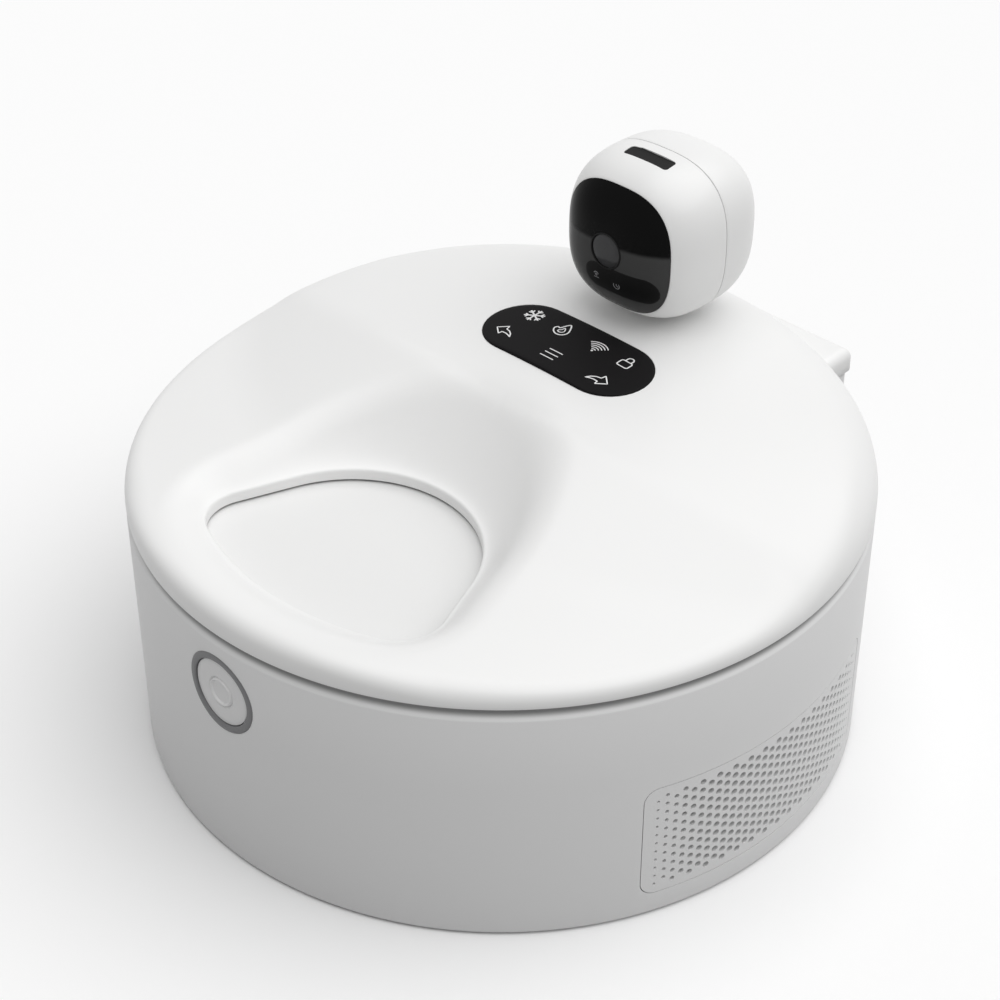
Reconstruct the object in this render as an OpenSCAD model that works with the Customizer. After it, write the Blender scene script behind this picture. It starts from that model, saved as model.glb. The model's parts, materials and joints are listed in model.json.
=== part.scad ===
// Automatic wet food feeder: a chilled turntable of food wells under a domed, hinged lid.
// Millimetres. Z is up, the floor is z = 0, the body axis is the origin and the front is -Y.

/* [Body] */
// Outer radius of the round body
body_r = 160; // [154:1:168]
// Height of the base's top rim above the floor
rim_z = 118.5; // [117:0.5:122]
// Thickness of the housing wall
wall = 3; // [2.5:0.1:3.5]
// Gap between the base rim and the lid
seam_gap = 1.1; // [0.8:0.1:1.6]
// Bevel along the base's top edge
rim_bevel = 2; // [1.4:0.1:2.4]
// Height of the rubber feet below the base
foot_h = 3; // [2:0.5:5]
// Radius of a rubber foot
foot_r = 9; // [7:0.5:12]
// Distance of the feet's centres from the body's side
foot_inset = 32; // [28:1:45]
// Thickness of the bottom cover
cover_t = 3; // [2.5:0.1:4]
// Radius of a base screw's shank
screw_r = 1.75; // [1.5:0.05:2]
// Radius of a base screw's head
screw_head_r = 4; // [3.5:0.1:4.5]

/* [Cold chamber and tray] */
// Room for foam between housing and chamber
foam_room = 14; // [13:0.5:17]
// Thickness of the foam ring
foam_t = 8.5; // [6:0.5:9]
// Thickness of the chamber wall and floor
chamber_t = 2.5; // [2:0.1:3]
// Radial room around the tray
tray_room = 3; // [2:0.5:5]
// Drop of the tray top below the base rim
tray_drop = 2.3; // [2.1:0.1:3]
// Height of the tray
tray_h = 38; // [34:0.5:40]
// Wall of the tray
tray_t = 2; // [1.6:0.1:2.5]
// Number of food wells, beside one blank dish
well_count = 3; // [2:1:5]
// Depth of the blank dish at the feeding opening
dish_depth = 2.6; // [1:0.1:3.4]
// Radius of the tray's hub
hub_r = 24; // [20:0.5:28]
// Corner radius of the wells
well_corner_r = 9; // [5:0.5:11]
// Thickness of the turntable
turntable_t = 3.5; // [3:0.1:5]
// Radius of the turntable
turntable_r = 62; // [50:1:80]

/* [Drive] */
// Gear module
gear_module = 1; // [0.9:0.05:1.1]
// Teeth on the spindle gear
gear_teeth = 60; // [60:4:64]
// Teeth on the motor pinion
pinion_teeth = 15; // [15:1:16]
// Face width of the spindle gear
gear_t = 8; // [6:0.5:9]
// Radius of the drive spindle
spindle_r = 5; // [4:0.1:6]
// Running clearance of a shaft in its bush
shaft_play = 0.06; // [0.03:0.01:0.09]
// Radius of the motor shaft
motor_shaft_r = 2; // [1.5:0.1:2.5]
// Radius of the motor
motor_r = 13.5; // [12:0.5:14]
// Radius of the motor's gearbox
gearbox_r = 16; // [14:0.5:18]
// Height of the motor's gearbox
gearbox_h = 14; // [12:0.5:16]

/* [Cooling] */
// Distance of the cooler from the body axis
cool_y = 80; // [78:0.5:84]
// Width of the cold plate across the floor
cold_w = 100; // [90:1:106]
// Depth of the cold plate
cold_d = 84; // [76:1:86]
// Side of the cooling module
peltier_w = 40; // [30:1:50]
// Width of the square heat sink
sink_w = 84; // [76:1:86]
// Height of the heat sink's fins
fin_h = 20; // [16:0.5:21]
// Thickness of a fin
fin_t = 1.5; // [1:0.1:2]
// Number of fins
fin_count = 14; // [10:1:16]
// Width of the square fan
fan_w = 80; // [76:1:84]
// Thickness of the fan
fan_t = 15; // [14:0.5:18]
// Number of fan blades
blade_count = 7; // [5:1:9]
// Half angle of a side vent, seen from the body axis
vent_half_angle = 25.5; // [20:0.5:28]
// Lower edge of the side vents
vent_low = 11.5; // [10:0.5:16]
// Upper edge of the side vents
vent_high = 69; // [60:0.5:70]
// Corner radius of the side vents
vent_corner_r = 7; // [4:0.5:9]
// Radius of a vent hole
vent_hole_r = 1.9; // [1.4:0.1:2.2]
// Distance between rows of vent holes
vent_row_pitch = 7.6; // [7:0.1:9]

/* [Lid] */
// Height of the dome's crown above the floor
dome_z = 160; // [158:0.5:164]
// Radius of the dome
dome_r = 834; // [780:2:900]
// Distance of the dome's crown behind the body axis
dome_y = 60; // [50:1:70]
// Radius of the dome's sides across the lid
side_r = 540; // [520:2:580]
// Radius of the ramp across the lid
ramp_r = 480; // [460:2:500]
// Slope of the ramp in front of the crease
ramp_slope = 14; // [12:0.5:16]
// Place of the crease in front of the body axis
crease_y = -4; // [-8:0.5:0]
// Slope of the front deck
deck_slope = 5; // [4:0.25:6]
// Height of the front deck at the rim
deck_z = 131; // [130:0.5:134]
// Width of the lid's rounded edge
edge_w = 73; // [66:1:78]
// Height of the lid's rounded edge
edge_h = 39.5; // [38:0.5:40.5]
// Thickness of the lid's shell
lid_t = 2.5; // [2:0.1:3]
// Thickness of the lid's liner
liner_t = 2; // [1.6:0.1:2.5]
// Height of the bowl's lower edge above the base rim
bowl_rise = 5; // [4:0.5:7]
// Depth of the opening's lip below the bowl
lip_h = 5.4; // [4.5:0.1:5.6]
// Distance of the opening's front edge from the body's side
opening_inset = 29.5; // [29:0.5:32]
// Radius of the opening's front corners
opening_corner_r = 19; // [15:0.5:22]
// Half distance between the front corners' centres
opening_corner_x = 44; // [40:0.5:46]
// Radius of the opening's rear arc
opening_rear_r = 56; // [54:0.5:58]
// Distance of the rear arc's centre behind the opening's front edge
opening_rear_dy = 39.5; // [37.5:0.5:42.5]
// Steepness of the bowl's wall
bowl_angle = 45; // [42:1:50]

/* [Hinge and latch] */
// Half width of the hinge hump
hump_half_w = 62; // [60:0.5:66]
// Reach of the hump's rear face behind the body's side
hump_reach = 6; // [4:0.5:8]
// Height of the hump above the seam
hump_h = 11.5; // [10:0.5:13]
// Inset of the base's part of the hump
hump_inset = 1.5; // [1:0.1:2.5]
// Lower end of the base's part of the hump
hump_low_z = 84; // [74:1:92]
// Radius of a hinge knuckle
knuckle_r = 4.5; // [4:0.1:5]
// Radius of a hinge pin
hinge_pin_r = 1.8; // [1.5:0.1:2]
// Length of a lid knuckle
knuckle_len = 13; // [10:0.5:16]
// Centre of a knuckle from the middle of the hinge
knuckle_x = 37; // [35:0.5:39]
// Height of the release button above the floor
button_z = 89.5; // [88:0.5:91]
// Radius of the release button
button_r = 15.1; // [14:0.1:15.6]
// Outer radius of the button's bezel
bezel_r = 18.5; // [18:0.1:19.5]
// Travel of the release button
button_travel = 1.5; // [1:0.1:1.8]
// Thickness of the latch arm
latch_t = 2; // [1.5:0.1:2.1]

/* [Control panel] */
// Length of the control panel
panel_len = 87; // [82:0.5:90]
// Width of the control panel
panel_w = 39; // [35:0.5:42]
// Distance of the panel's centre behind the body axis
panel_y = 42; // [40:0.5:44]
// Thickness of the control panel at its edge
panel_t = 2.6; // [2:0.1:3]

/* [Camera] */
// Width and height of the camera
cam_w = 73; // [70:0.5:76]
// Depth of the camera
cam_d = 73; // [70:0.5:76]
// Distance of the camera's centre behind the body axis
cam_y = 100; // [98:0.5:102]
// Height of the camera's centre
cam_z = 197.2; // [197:0.1:200]
// Radius of the camera's rounded edges
cam_edge_r = 28; // [24:0.5:30]
// Reach of the camera's rounded corners from its centre
cam_corner_r = 42.5; // [41:0.5:46]
// Wall of the camera's shells
cam_t = 2.2; // [1.8:0.1:2.6]
// Distance of the shells' seam behind the camera's centre
cam_split = 0; // [-6:0.5:6]
// Side of the square front window
window_w = 58; // [54:0.5:60]
// Corner radius of the front window
window_corner_r = 22; // [18:0.5:24]
// Radius of the lens
lens_r = 6; // [5:0.1:7]
// Distance of the lens above the camera's centre
lens_dz = 1; // [0:0.5:4]
// Radius of the camera's foot
foot_disc_r = 15; // [12:0.5:17]
// Radius of the swivel pin
swivel_r = 3; // [2.5:0.1:4]

/* [Hidden] */

$fn = 96;
// Facets of the large round forms
round_fn = 200;
// Overshoot of cutting shapes
eps = 1;
// Gap between pieces that move past each other
run_gap = 0.4;
// Gap between fixed pieces that slip together
slip_gap = 0.2;
// Gap between fixed round pieces that are pushed together
push_gap = 0.05;
// Reach of half-space cutting blocks
far = 600;

// Colours as seen
white = "#f4f4f2";
pale_grey = "#dcdcdb";
mid_grey = "#8b8c8d";
dark = "#242324";
steel = "#b9bcc0";
board_green = "#2f5d45";
foam_grey = "#c9cbc8";

// Radii from the wall inwards
in_r = body_r - wall;
chamber_out_r = in_r - foam_room;
chamber_in_r = chamber_out_r - chamber_t;
tray_r = chamber_in_r - tray_room;

// Heights from the top downwards
tray_top = rim_z - tray_drop;
tray_low = tray_top - tray_h;
turntable_low = tray_low - turntable_t;
bush_flange_t = 2;
floor_top = turntable_low - run_gap - bush_flange_t;
floor_low = floor_top - chamber_t;
cold_plate_t = 5;
cold_flange_t = cold_plate_t - chamber_t;
peltier_t = 4;
sink_base_t = 4;
peltier_top = floor_top - cold_plate_t;
sink_top = peltier_top - peltier_t;
fin_low = sink_top - sink_base_t - fin_h;
fan_low = fin_low - fan_t;
cover_top = foot_h + cover_t;

// Feet, and the screws that hold the bottom cover to the housing's bosses
foot_pitch_r = body_r - foot_inset;
foot_bevel = 1;
foot_pocket = 1;
boss_wall = 2;
boss_bite = 0.5;
boss_h = 14;
boss_r = screw_head_r + boss_wall;
boss_pitch_r = in_r - boss_r;
screw_head_h = 2;
screw_head_drop = 0.4;
screw_len = 13;
screw_hole_depth = 12;
recess_len = 4.8;
recess_w = 1;
recess_depth = 0.9;

// Air inlet slots of the bottom cover
inlet_side = 4;
inlet_w = 4;
inlet_len = 56;

// Chamber flange, the ledge that carries it and the foam
flange_drop = 2;
flange_t = 3;
flange_top = rim_z - flange_drop;
flange_low = flange_top - flange_t;
ledge_t = 3;
ledge_w = 4.7;
ledge_low = flange_low - ledge_t - ledge_w;
latch_notch_half = 9;
bezel_notch_half = 24;
notch_bite = 0.3;
foam_low_gap = 2;
foam_high_gap = 1;
foam_notch_side = 4;

// Tray hub, pegs and webs
tray_rim_w = 3;
web_half = 2;
peg_r = 3;
peg_h = 6;
peg_inset = 8;
peg_count = 3;
grip_depth = 12;
grip_rim = 5;
grip_bar = 5;

// Cold plate's flange under the chamber floor
cold_flange_x = 4;
cold_flange_y = 3;

// Fan
fan_rim = 2;
fan_corner_r = 4;
fan_duct_r = fan_w / 2 - fan_rim;
fan_hub_r = 17;
fan_hub_gap = 1;
fan_pin_r = 1.5;
fan_pin_drop = 2;
fan_post_r = 4;
fan_post_inset = 5;
strut_t = 2;
strut_w = 4;
strut_bite = 3;
rotor_drop = 1;
blade_tilt = 32;
blade_chord = 16;
blade_t = 1.2;
blade_bite = 2;
blade_tip_gap = 1.2;

// Side vents
grille_recess = 0.3;
vent_columns = 6;
vent_margin_angle = 5;
vent_mid = (vent_low + vent_high) / 2;

// Gears and motor
pitch_r = gear_module * gear_teeth / 2;
pinion_pitch_r = gear_module * pinion_teeth / 2;
drive_x = -(pitch_r + pinion_pitch_r);
bush_wall = 4;
bush_body_r = spindle_r + bush_wall;
bush_flange_w = 5;
bush_below = 7;
gear_top = floor_low - bush_below - run_gap;
gear_low = gear_top - gear_t;
pinion_lift = 1.4;
gearbox_top = gear_low - pinion_lift;
gearbox_low = gearbox_top - gearbox_h;
motor_seat_h = 6;
motor_low = cover_top + motor_seat_h;
motor_cup_wall = 2.5;
motor_cup_h = 6;
shaft_seat = 3;

// Main board and power jack
board_w = 100;
board_d = 50;
board_t = 1.6;
board_y = 95;
board_z = 26;
board_post_r = 3.5;
board_post_inset = 5;
jack_z = 30;
jack_body_w = 14;
jack_body_d = 13.7;
jack_body_h = 12;
jack_seat_gap = 0.3;
jack_nose_r = 5.4;
jack_nose_gap = 0.1;
jack_proud = 0.3;
jack_hole_r = 3.2;
jack_hole_depth = 9;
jack_pin_r = 1;

// Lid heights
lid_low = rim_z + seam_gap;
liner_low = lid_low + slip_gap;
liner_top = liner_low + liner_t;
bowl_z = rim_z + bowl_rise;
lip_low = bowl_z - lip_h;
edge_over = 1;
edge_z = dome_z - edge_h + edge_over;
edge_step = 6;

// Reach, depth and steps of the dome's drawn arc
dome_margin = 40;
dome_reach = body_r + dome_y + dome_margin;
dome_depth = 95;
dome_steps = 16;
dome_flat_r = 4;

// Places of the opening's arcs, their steps, and the angle that the front arc leaves to the corners
opening_front_r = body_r - opening_inset;
opening_rear_y = opening_front_r - opening_rear_dy;
rear_steps = 20;
corner_steps = 9;
front_skip = 4;

// Lid screws and the lid's seal above the chamber wall
lid_screw_r = 1.5;
lid_screw_len = 8;
lid_screw_head_r = 3.2;
lid_screw_head_h = 1.6;
lid_screw_angle = 40;
lid_boss_r = 4.5;
lid_boss_hole = 7;
seal_gap = 0.3;
lid_screw_pitch_r = chamber_out_r + seal_gap + lid_screw_head_r;
lid_screw_x = lid_screw_pitch_r * cos(lid_screw_angle);
lid_screw_y = lid_screw_pitch_r * sin(lid_screw_angle);

// Hinge
hump_y = body_r + hump_reach;
hinge_y = hump_y;
hinge_z = rim_z + seam_gap / 2;
base_knuckle_len = 10;
hump_root_y = sqrt(body_r * body_r - hump_half_w * hump_half_w) - 2 * wall;
hump_top_r = 5;
hump_base_r = 0.5;
tongue_x = 15;
tongue_w = 14;
tongue_h = 3.5;
tongue_in = 9;
tongue_out = 3;

// Button, measured from the front
bezel_depth = 7.7;
bezel_back = body_r - bezel_depth;
bezel_proud = 0.3;
bezel_flange_t = 2.5;
bezel_flange_w = 2.5;
bezel_flange_r = bezel_r + bezel_flange_w;
button_recess = 0.4;
button_face = body_r - button_recess;
button_gap = 0.3;
button_flange_t = 1.5;
button_flange_w = 2;
dimple_r = 6.4;
dimple_w = 1;
dimple_depth = 0.7;
stem_r = 4;
stem_len = 1.5;
stem_back = bezel_back - button_gap - button_flange_t - stem_len;

// Latch: a spring arm held at its foot, with a nose over the striker's ledge
latch_front = stem_back - run_gap;
latch_back = latch_front - latch_t;
latch_half = 6;
latch_drop = 25;
latch_low = button_z - bezel_flange_r - latch_drop;
latch_pad_h = 9;
latch_pad_side = 2;
latch_nose = 3;
latch_nose_h = 3;
latch_top = flange_top - slip_gap;
latch_nose_z = latch_top - latch_nose_h;
striker_half = 7;
striker_t = 2;
striker_ledge = 2.6;
striker_nose_room = 1.4;
striker_front = latch_front + latch_nose + striker_nose_room + striker_t;
striker_low = latch_nose_z - run_gap - striker_t;
striker_plate_side = 2;
striker_plate_d = 10;

// Swing of the nose as the button bends the arm, by the formula of a beam held at one end
latch_hold_z = latch_low + latch_pad_h;
latch_push = button_z - latch_hold_z;
latch_len = latch_nose_z - latch_hold_z;
latch_swing = button_travel * (3 * latch_len - latch_push) / (2 * latch_push);
latch_room_r = latch_back - latch_swing - run_gap;

// Panel seat
panel_side_z = dome_height(panel_len / 2, panel_y - panel_w / 2);
panel_low = panel_side_z - panel_t;
panel_seat_t = 3;
panel_seat_w = 3;
panel_lip = 4;

// Camera, its swivel and its front pieces
cam_low = cam_z - cam_w / 2;
cam_front = cam_y - cam_d / 2;
foot_gap = 1.4;
foot_top = cam_low - foot_gap;
foot_plug = 4;
foot_seat_z = dome_height(0, cam_y) - lid_t - foot_plug;
neck_inset = 2;
neck_r = foot_disc_r - neck_inset;
neck_step = 2;
collar_wall = 3;
swivel_h = 9;
window_depth = 14;
lens_ring_w = 2.5;
lens_ring_r = lens_r + lens_ring_w;
lens_ring_recess = 0.5;
lens_seat = 8;
lens_recess = 1;
lens_dome_r = 14.4;
slot_len = 23;
slot_w = 5.7;
slot_dy = 9.5;
slot_depth = 3;
cam_board_w = 38;
cam_board_depth = 14.5;

// Height of the dome over a place on the plan
function dome_height(x, y) = dome_z - dome_r + sqrt(dome_r * dome_r - x * x - (y - dome_y) * (y - dome_y));

// Points of an arc, angles in degrees
function arc(c, r, a0, a1, steps) =
    [for (i = [0:steps]) let (a = a0 + (a1 - a0) * i / steps) [c[0] + r * cos(a), c[1] + r * sin(a)]];

// Flat rounded rectangle from true circles
module rounded_rect(w, h, r) {
    square([w - 2 * r, h], center = true);
    square([w, h - 2 * r], center = true);
    for (x = [-1, 1], y = [-1, 1])
        translate([x * (w / 2 - r), y * (h / 2 - r)])
            circle(r);
}

// Flat rounded rectangle drawn as one outline
module soft_rect(w, h, r) {
    steps = 6;
    x = w / 2 - r;
    y = h / 2 - r;
    polygon(concat(arc([x, y], r, 0, 90, steps), arc([-x, y], r, 90, 180, steps),
        arc([-x, -y], r, 180, 270, steps), arc([x, -y], r, 270, 360, steps)));
}

// Flat stadium along X
module stadium(len, w) {
    square([len - w, w], center = true);
    for (x = [-1, 1])
        translate([x * (len - w) / 2, 0])
            circle(d = w);
}

// Ring standing on z0
module ring(r_out, r_in, z0, h) {
    translate([0, 0, z0])
        difference() {
            cylinder(r = r_out, h = h);
            translate([0, 0, -eps])
                cylinder(r = r_in, h = h + 2 * eps);
        }
}

// Cylinder along Y, from y0 towards +Y
module along_y(r, y0, len) {
    translate([0, y0, 0])
        rotate([-90, 0, 0])
            cylinder(r = r, h = len);
}

// Cylinder along X, centred on x0
module along_x(r, x0, len) {
    translate([x0 - len / 2, 0, 0])
        rotate([0, 90, 0])
            cylinder(r = r, h = len);
}

// A child at each of four places on a circle
module four_around(r, turn) {
    for (a = [0:90:270])
        rotate([0, 0, a + turn])
            translate([r, 0, 0])
                children();
}

// A child at each corner of a rectangle
module corner_places(x, y) {
    for (sx = [-1, 1], sy = [-1, 1])
        translate([sx * x, sy * y, 0])
            children();
}

// Gear outline with straight-flanked teeth, one tooth on +X
module gear_outline(teeth, m, bore_r) {
    tip_height = 0.75;
    root_depth = 1.1;
    tip_share = 0.11;
    root_share = 0.30;
    r = m * teeth / 2;
    step = 360 / teeth;
    tip = r + tip_height * m;
    root = r - root_depth * m;
    tip_half = tip_share * step;
    root_half = root_share * step;
    difference() {
        union() {
            circle(root);
            for (i = [0:teeth - 1])
                rotate(i * step)
                    polygon([[root * cos(root_half) - m, -root * sin(root_half)],
                        [root * cos(root_half), -root * sin(root_half)],
                        [tip * cos(tip_half), -tip * sin(tip_half)],
                        [tip * cos(tip_half), tip * sin(tip_half)],
                        [root * cos(root_half), root * sin(root_half)],
                        [root * cos(root_half) - m, root * sin(root_half)]]);
        }
        circle(bore_r);
    }
}

// Flat outline of the feeding opening, grown by d: rear arc, corner, front arc, corner
function opening_outline(d) = let (
        corner_d = opening_front_r - opening_corner_r,
        cx = opening_corner_x,
        cy = -sqrt(corner_d * corner_d - cx * cx),
        ry = -opening_rear_y,
        side = atan2(cy - ry, cx) + acos((opening_rear_r - opening_corner_r) / norm([cx, cy - ry])),
        bend = atan2(-cy, cx))
    concat(arc([0, ry], opening_rear_r + d, side, 180 - side, rear_steps),
        arc([-cx, cy], opening_corner_r + d, 180 - side, 180 + bend, corner_steps),
        arc([0, 0], opening_front_r + d, 180 + bend + front_skip, 360 - bend - front_skip, corner_steps),
        arc([cx, cy], opening_corner_r + d, 360 - bend, 360 + side, corner_steps));

// Feeding opening grown by d0 at z0 and by d1 at z1
module opening_solid(z0, d0, z1, d1) {
    low = opening_outline(d0);
    high = opening_outline(d1);
    n = len(low);
    polyhedron(
        points = concat([for (p = low) [p[0], p[1], z0]], [for (p = high) [p[0], p[1], z1]]),
        faces = concat([[for (i = [0:n - 1]) i]], [[for (i = [n - 1:-1:0]) n + i]],
            [for (i = [0:n - 1]) let (j = (i + 1) % n) [i, n + i, n + j, j]]));
}

// Bowl around the opening, grown outwards by t square to its wall
module bowl_solid(t) {
    rise = dome_z - bowl_z + eps;
    grow = t / sin(bowl_angle);
    opening_solid(bowl_z, grow, bowl_z + rise, grow + rise / tan(bowl_angle));
}

// Side profile of the round edge, t inside the surface
function edge_profile(t) = concat(
    [[0, lid_low - eps], [body_r - t, lid_low - eps]],
    [for (a = [0:edge_step:90]) [body_r - edge_w + (edge_w - t) * cos(a), edge_z + (edge_h - t) * sin(a)]],
    [[0, edge_z + edge_h - t]]);

// Height of an arc of radius r at a distance x from its crown, t inside the surface
function arc_fall(r, x, t) = sqrt((r - t) * (r - t) - x * x) - r;

// Half outline under an arc of radius r, t inside the surface, with its crown at zero
function arc_profile(r, t) = concat(
    [[0, -dome_depth]],
    [[dome_reach, -dome_depth]],
    [for (i = [dome_steps:-1:1]) let (x = dome_reach * i / dome_steps) [x, arc_fall(r, x, t)]],
    [[dome_flat_r, arc_fall(r, dome_flat_r, t)], [0, arc_fall(r, dome_flat_r, t)]]);

// Whole outline under the same arc, both halves in one
function arc_outline(r, t) = let (half = arc_profile(r, t), last = len(half) - 2)
    concat([for (i = [1:last]) half[i]], [for (i = [last:-1:1]) [-half[i][0], half[i][1]]]);

// Slab under a slope that is curved across X with radius r
module ramp_solid(y, z, slope, r, t) {
    translate([0, y, z])
        rotate([90 + slope, 0, 0])
            translate([0, 0, -far])
                linear_extrude(2 * far)
                    polygon(arc_outline(r, t));
}

// The round dome with its lower sides, t inside the surface
module dome_solid(t) {
    intersection() {
        translate([0, dome_y, dome_z])
            rotate_extrude($fn = round_fn)
                polygon(arc_profile(dome_r, t));
        ramp_solid(dome_y, dome_z, 0, side_r, t);
    }
}

// Whole lid without bowl and opening, t inside the surface
module lid_envelope(t) {
    intersection() {
        rotate_extrude($fn = round_fn)
            polygon(edge_profile(t));
        dome_solid(t);
        union() {
            ramp_solid(crease_y, dome_height(0, crease_y), ramp_slope, ramp_r, t);
            ramp_solid(-body_r, deck_z, deck_slope, dome_r, t);
        }
    }
}

// Side profile of the hump as drawn in the (y, z) plane, then swept across X
module hump_sweep(half_w, y1, z0, z1, top_r) {
    translate([-half_w, 0, 0])
        rotate([90, 0, 90])
            linear_extrude(2 * half_w)
                union() {
                    translate([hump_root_y, z0])
                        square([y1 - hump_root_y - top_r, z1 - z0]);
                    translate([y1 - 2 * top_r, z0])
                        square([2 * top_r, z1 - z0 - top_r]);
                    translate([y1 - top_r, z1 - top_r])
                        circle(top_r);
                }
}

// Knuckles that turn with the lid
module lid_knuckles(r, grow) {
    for (s = [-1, 1])
        translate([s * knuckle_x, hinge_y, hinge_z])
            along_x(r, 0, knuckle_len + 2 * grow);
}

// Knuckles of the base, on each side of the lid's
module base_knuckles(r, grow) {
    for (s = [-1, 1], e = [-1, 1])
        translate([s * knuckle_x, hinge_y, hinge_z])
            along_x(r, e * (knuckle_len / 2 + run_gap + base_knuckle_len / 2), base_knuckle_len + 2 * grow);
}

// Pieces of the base
module outer_housing() {
    color(pale_grey)
        difference() {
            union() {
                rotate_extrude($fn = round_fn)
                    polygon([[in_r, foot_h], [body_r, foot_h], [body_r, rim_z - rim_bevel],
                        [body_r - rim_bevel, rim_z], [in_r, rim_z], [in_r, flange_low],
                        [in_r - ledge_w, flange_low], [in_r - ledge_w, flange_low - ledge_t],
                        [in_r, ledge_low]]);
                translate([0, 0, cover_top])
                    four_around(boss_pitch_r, 0)
                        cylinder(r = boss_r + boss_bite, h = boss_h);
                difference() {
                    union() {
                        hump_sweep(hump_half_w - hump_inset, hump_y - hump_inset, hump_low_z, rim_z,
                            hump_base_r);
                        base_knuckles(knuckle_r, 0);
                    }
                    cylinder(r = body_r - wall / 2, h = far, $fn = round_fn);
                }
            }
            translate([0, 0, cover_top - eps])
                four_around(boss_pitch_r, 0)
                    cylinder(r = screw_r + push_gap, h = screw_hole_depth + eps);
            lid_knuckles(knuckle_r + run_gap, run_gap);
            base_knuckles(hinge_pin_r, eps);
            translate([0, 0, button_z])
                along_y(bezel_r + push_gap, -body_r - eps, bezel_depth + 2 * eps);
            intersection() {
                translate([-bezel_notch_half, -body_r, ledge_low - eps])
                    cube([2 * bezel_notch_half, body_r, flange_low - ledge_low + 2 * eps]);
                cylinder(r = in_r + notch_bite, h = far, $fn = round_fn);
            }
            for (s = [0, 1])
                mirror([s, 0, 0])
                    vent_window(0);
            translate([0, 0, jack_z])
                along_y(jack_nose_r + jack_nose_gap, in_r - eps, wall + 2 * eps);
        }
}

// Side vent's outline swept along X through the right wall
module vent_window(inset) {
    w = 2 * body_r * sin(vent_half_angle);
    translate([body_r / 2, 0, vent_mid])
        rotate([90, 0, 90])
            linear_extrude(body_r)
                soft_rect(w - 2 * inset, vent_high - vent_low - 2 * inset, vent_corner_r);
}

module bottom_cover() {
    color(pale_grey)
        difference() {
            union() {
                translate([0, 0, foot_h])
                    cylinder(r = in_r - slip_gap, h = cover_t);
                translate([0, cool_y, cover_top])
                    corner_places(fan_w / 2 - fan_post_inset, fan_w / 2 - fan_post_inset)
                        cylinder(r = fan_post_r, h = fan_low - cover_top);
                translate([0, -board_y, cover_top])
                    corner_places(board_w / 2 - board_post_inset, board_d / 2 - board_post_inset)
                        cylinder(r = board_post_r, h = board_z - cover_top);
                translate([drive_x, 0, cover_top])
                    cylinder(r = motor_r + motor_cup_wall, h = motor_seat_h + motor_cup_h);
            }
            translate([drive_x, 0, motor_low])
                cylinder(r = motor_r, h = far);
            four_around(foot_pitch_r, 45)
                cylinder(r = foot_r, h = foot_h + foot_pocket);
            four_around(boss_pitch_r, 0)
                cylinder(r = screw_head_r + slip_gap, h = foot_h - screw_head_drop + screw_head_h);
            four_around(boss_pitch_r, 0)
                cylinder(r = screw_r + slip_gap, h = far);
            for (i = [-inlet_side:inlet_side])
                translate([(2 * i - 0.5) * inlet_w, cool_y - inlet_len / 2, 0])
                    cube([inlet_w, inlet_len, cover_top + eps]);
        }
}

module rubber_feet() {
    color(dark)
        four_around(foot_pitch_r, 45)
            union() {
                translate([0, 0, foot_bevel])
                    cylinder(r = foot_r, h = foot_h + foot_pocket - foot_bevel);
                cylinder(r1 = foot_r - foot_bevel, r2 = foot_r, h = foot_bevel);
            }
}

module base_screws() {
    head_low = foot_h - screw_head_drop;
    color(steel)
        four_around(boss_pitch_r, 0)
            difference() {
                union() {
                    translate([0, 0, head_low])
                        cylinder(r = screw_head_r, h = screw_head_h);
                    translate([0, 0, foot_h])
                        cylinder(r = screw_r, h = screw_len);
                }
                for (a = [0, 90])
                    rotate([0, 0, a])
                        translate([-recess_len / 2, -recess_w / 2, head_low - eps])
                            cube([recess_len, recess_w, eps + recess_depth]);
            }
}

module cold_chamber() {
    color(white)
        difference() {
            union() {
                translate([0, 0, floor_low])
                    cylinder(r = chamber_out_r, h = flange_top - floor_low);
                translate([0, 0, flange_low])
                    cylinder(r = in_r - slip_gap, h = flange_t);
            }
            translate([0, 0, floor_top])
                cylinder(r = chamber_in_r, h = far);
            translate([0, 0, floor_low - eps])
                cylinder(r = bush_body_r, h = far);
            translate([-cold_w / 2, cool_y - cold_d / 2, floor_low - eps])
                cube([cold_w, cold_d, chamber_t + 2 * eps]);
            translate([-latch_notch_half, -body_r, flange_low - eps])
                cube([2 * latch_notch_half, body_r - latch_room_r, flange_t + 2 * eps]);
        }
}

module insulation_ring() {
    low = floor_top + foam_low_gap;
    high = ledge_low - foam_high_gap;
    notch_half = bezel_notch_half + foam_notch_side;
    color(foam_grey)
        difference() {
            ring(chamber_out_r + slip_gap + foam_t, chamber_out_r + slip_gap, low, high - low);
            translate([-notch_half, -body_r, low - eps])
                cube([2 * notch_half, body_r, far]);
        }
}

module cold_plate() {
    color(steel)
        union() {
            translate([-cold_w / 2 + slip_gap, cool_y - cold_d / 2 + slip_gap, peltier_top])
                cube([cold_w - 2 * slip_gap, cold_d - 2 * slip_gap, cold_plate_t]);
            translate([-cold_w / 2 - cold_flange_x, cool_y - cold_d / 2 - cold_flange_y, peltier_top])
                cube([cold_w + 2 * cold_flange_x, cold_d + 2 * cold_flange_y, cold_flange_t]);
        }
}

module peltier_module() {
    color(white)
        translate([-peltier_w / 2, cool_y - peltier_w / 2, sink_top])
            cube([peltier_w, peltier_w, peltier_t]);
}

module heat_sink() {
    pitch = (sink_w - fin_t) / (fin_count - 1);
    color(steel)
        union() {
            translate([-sink_w / 2, cool_y - sink_w / 2, sink_top - sink_base_t])
                cube([sink_w, sink_w, sink_base_t]);
            for (i = [0:fin_count - 1])
                translate([-sink_w / 2, cool_y - sink_w / 2 + i * pitch, fin_low])
                    cube([sink_w, fin_t, fin_h + eps]);
        }
}

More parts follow.
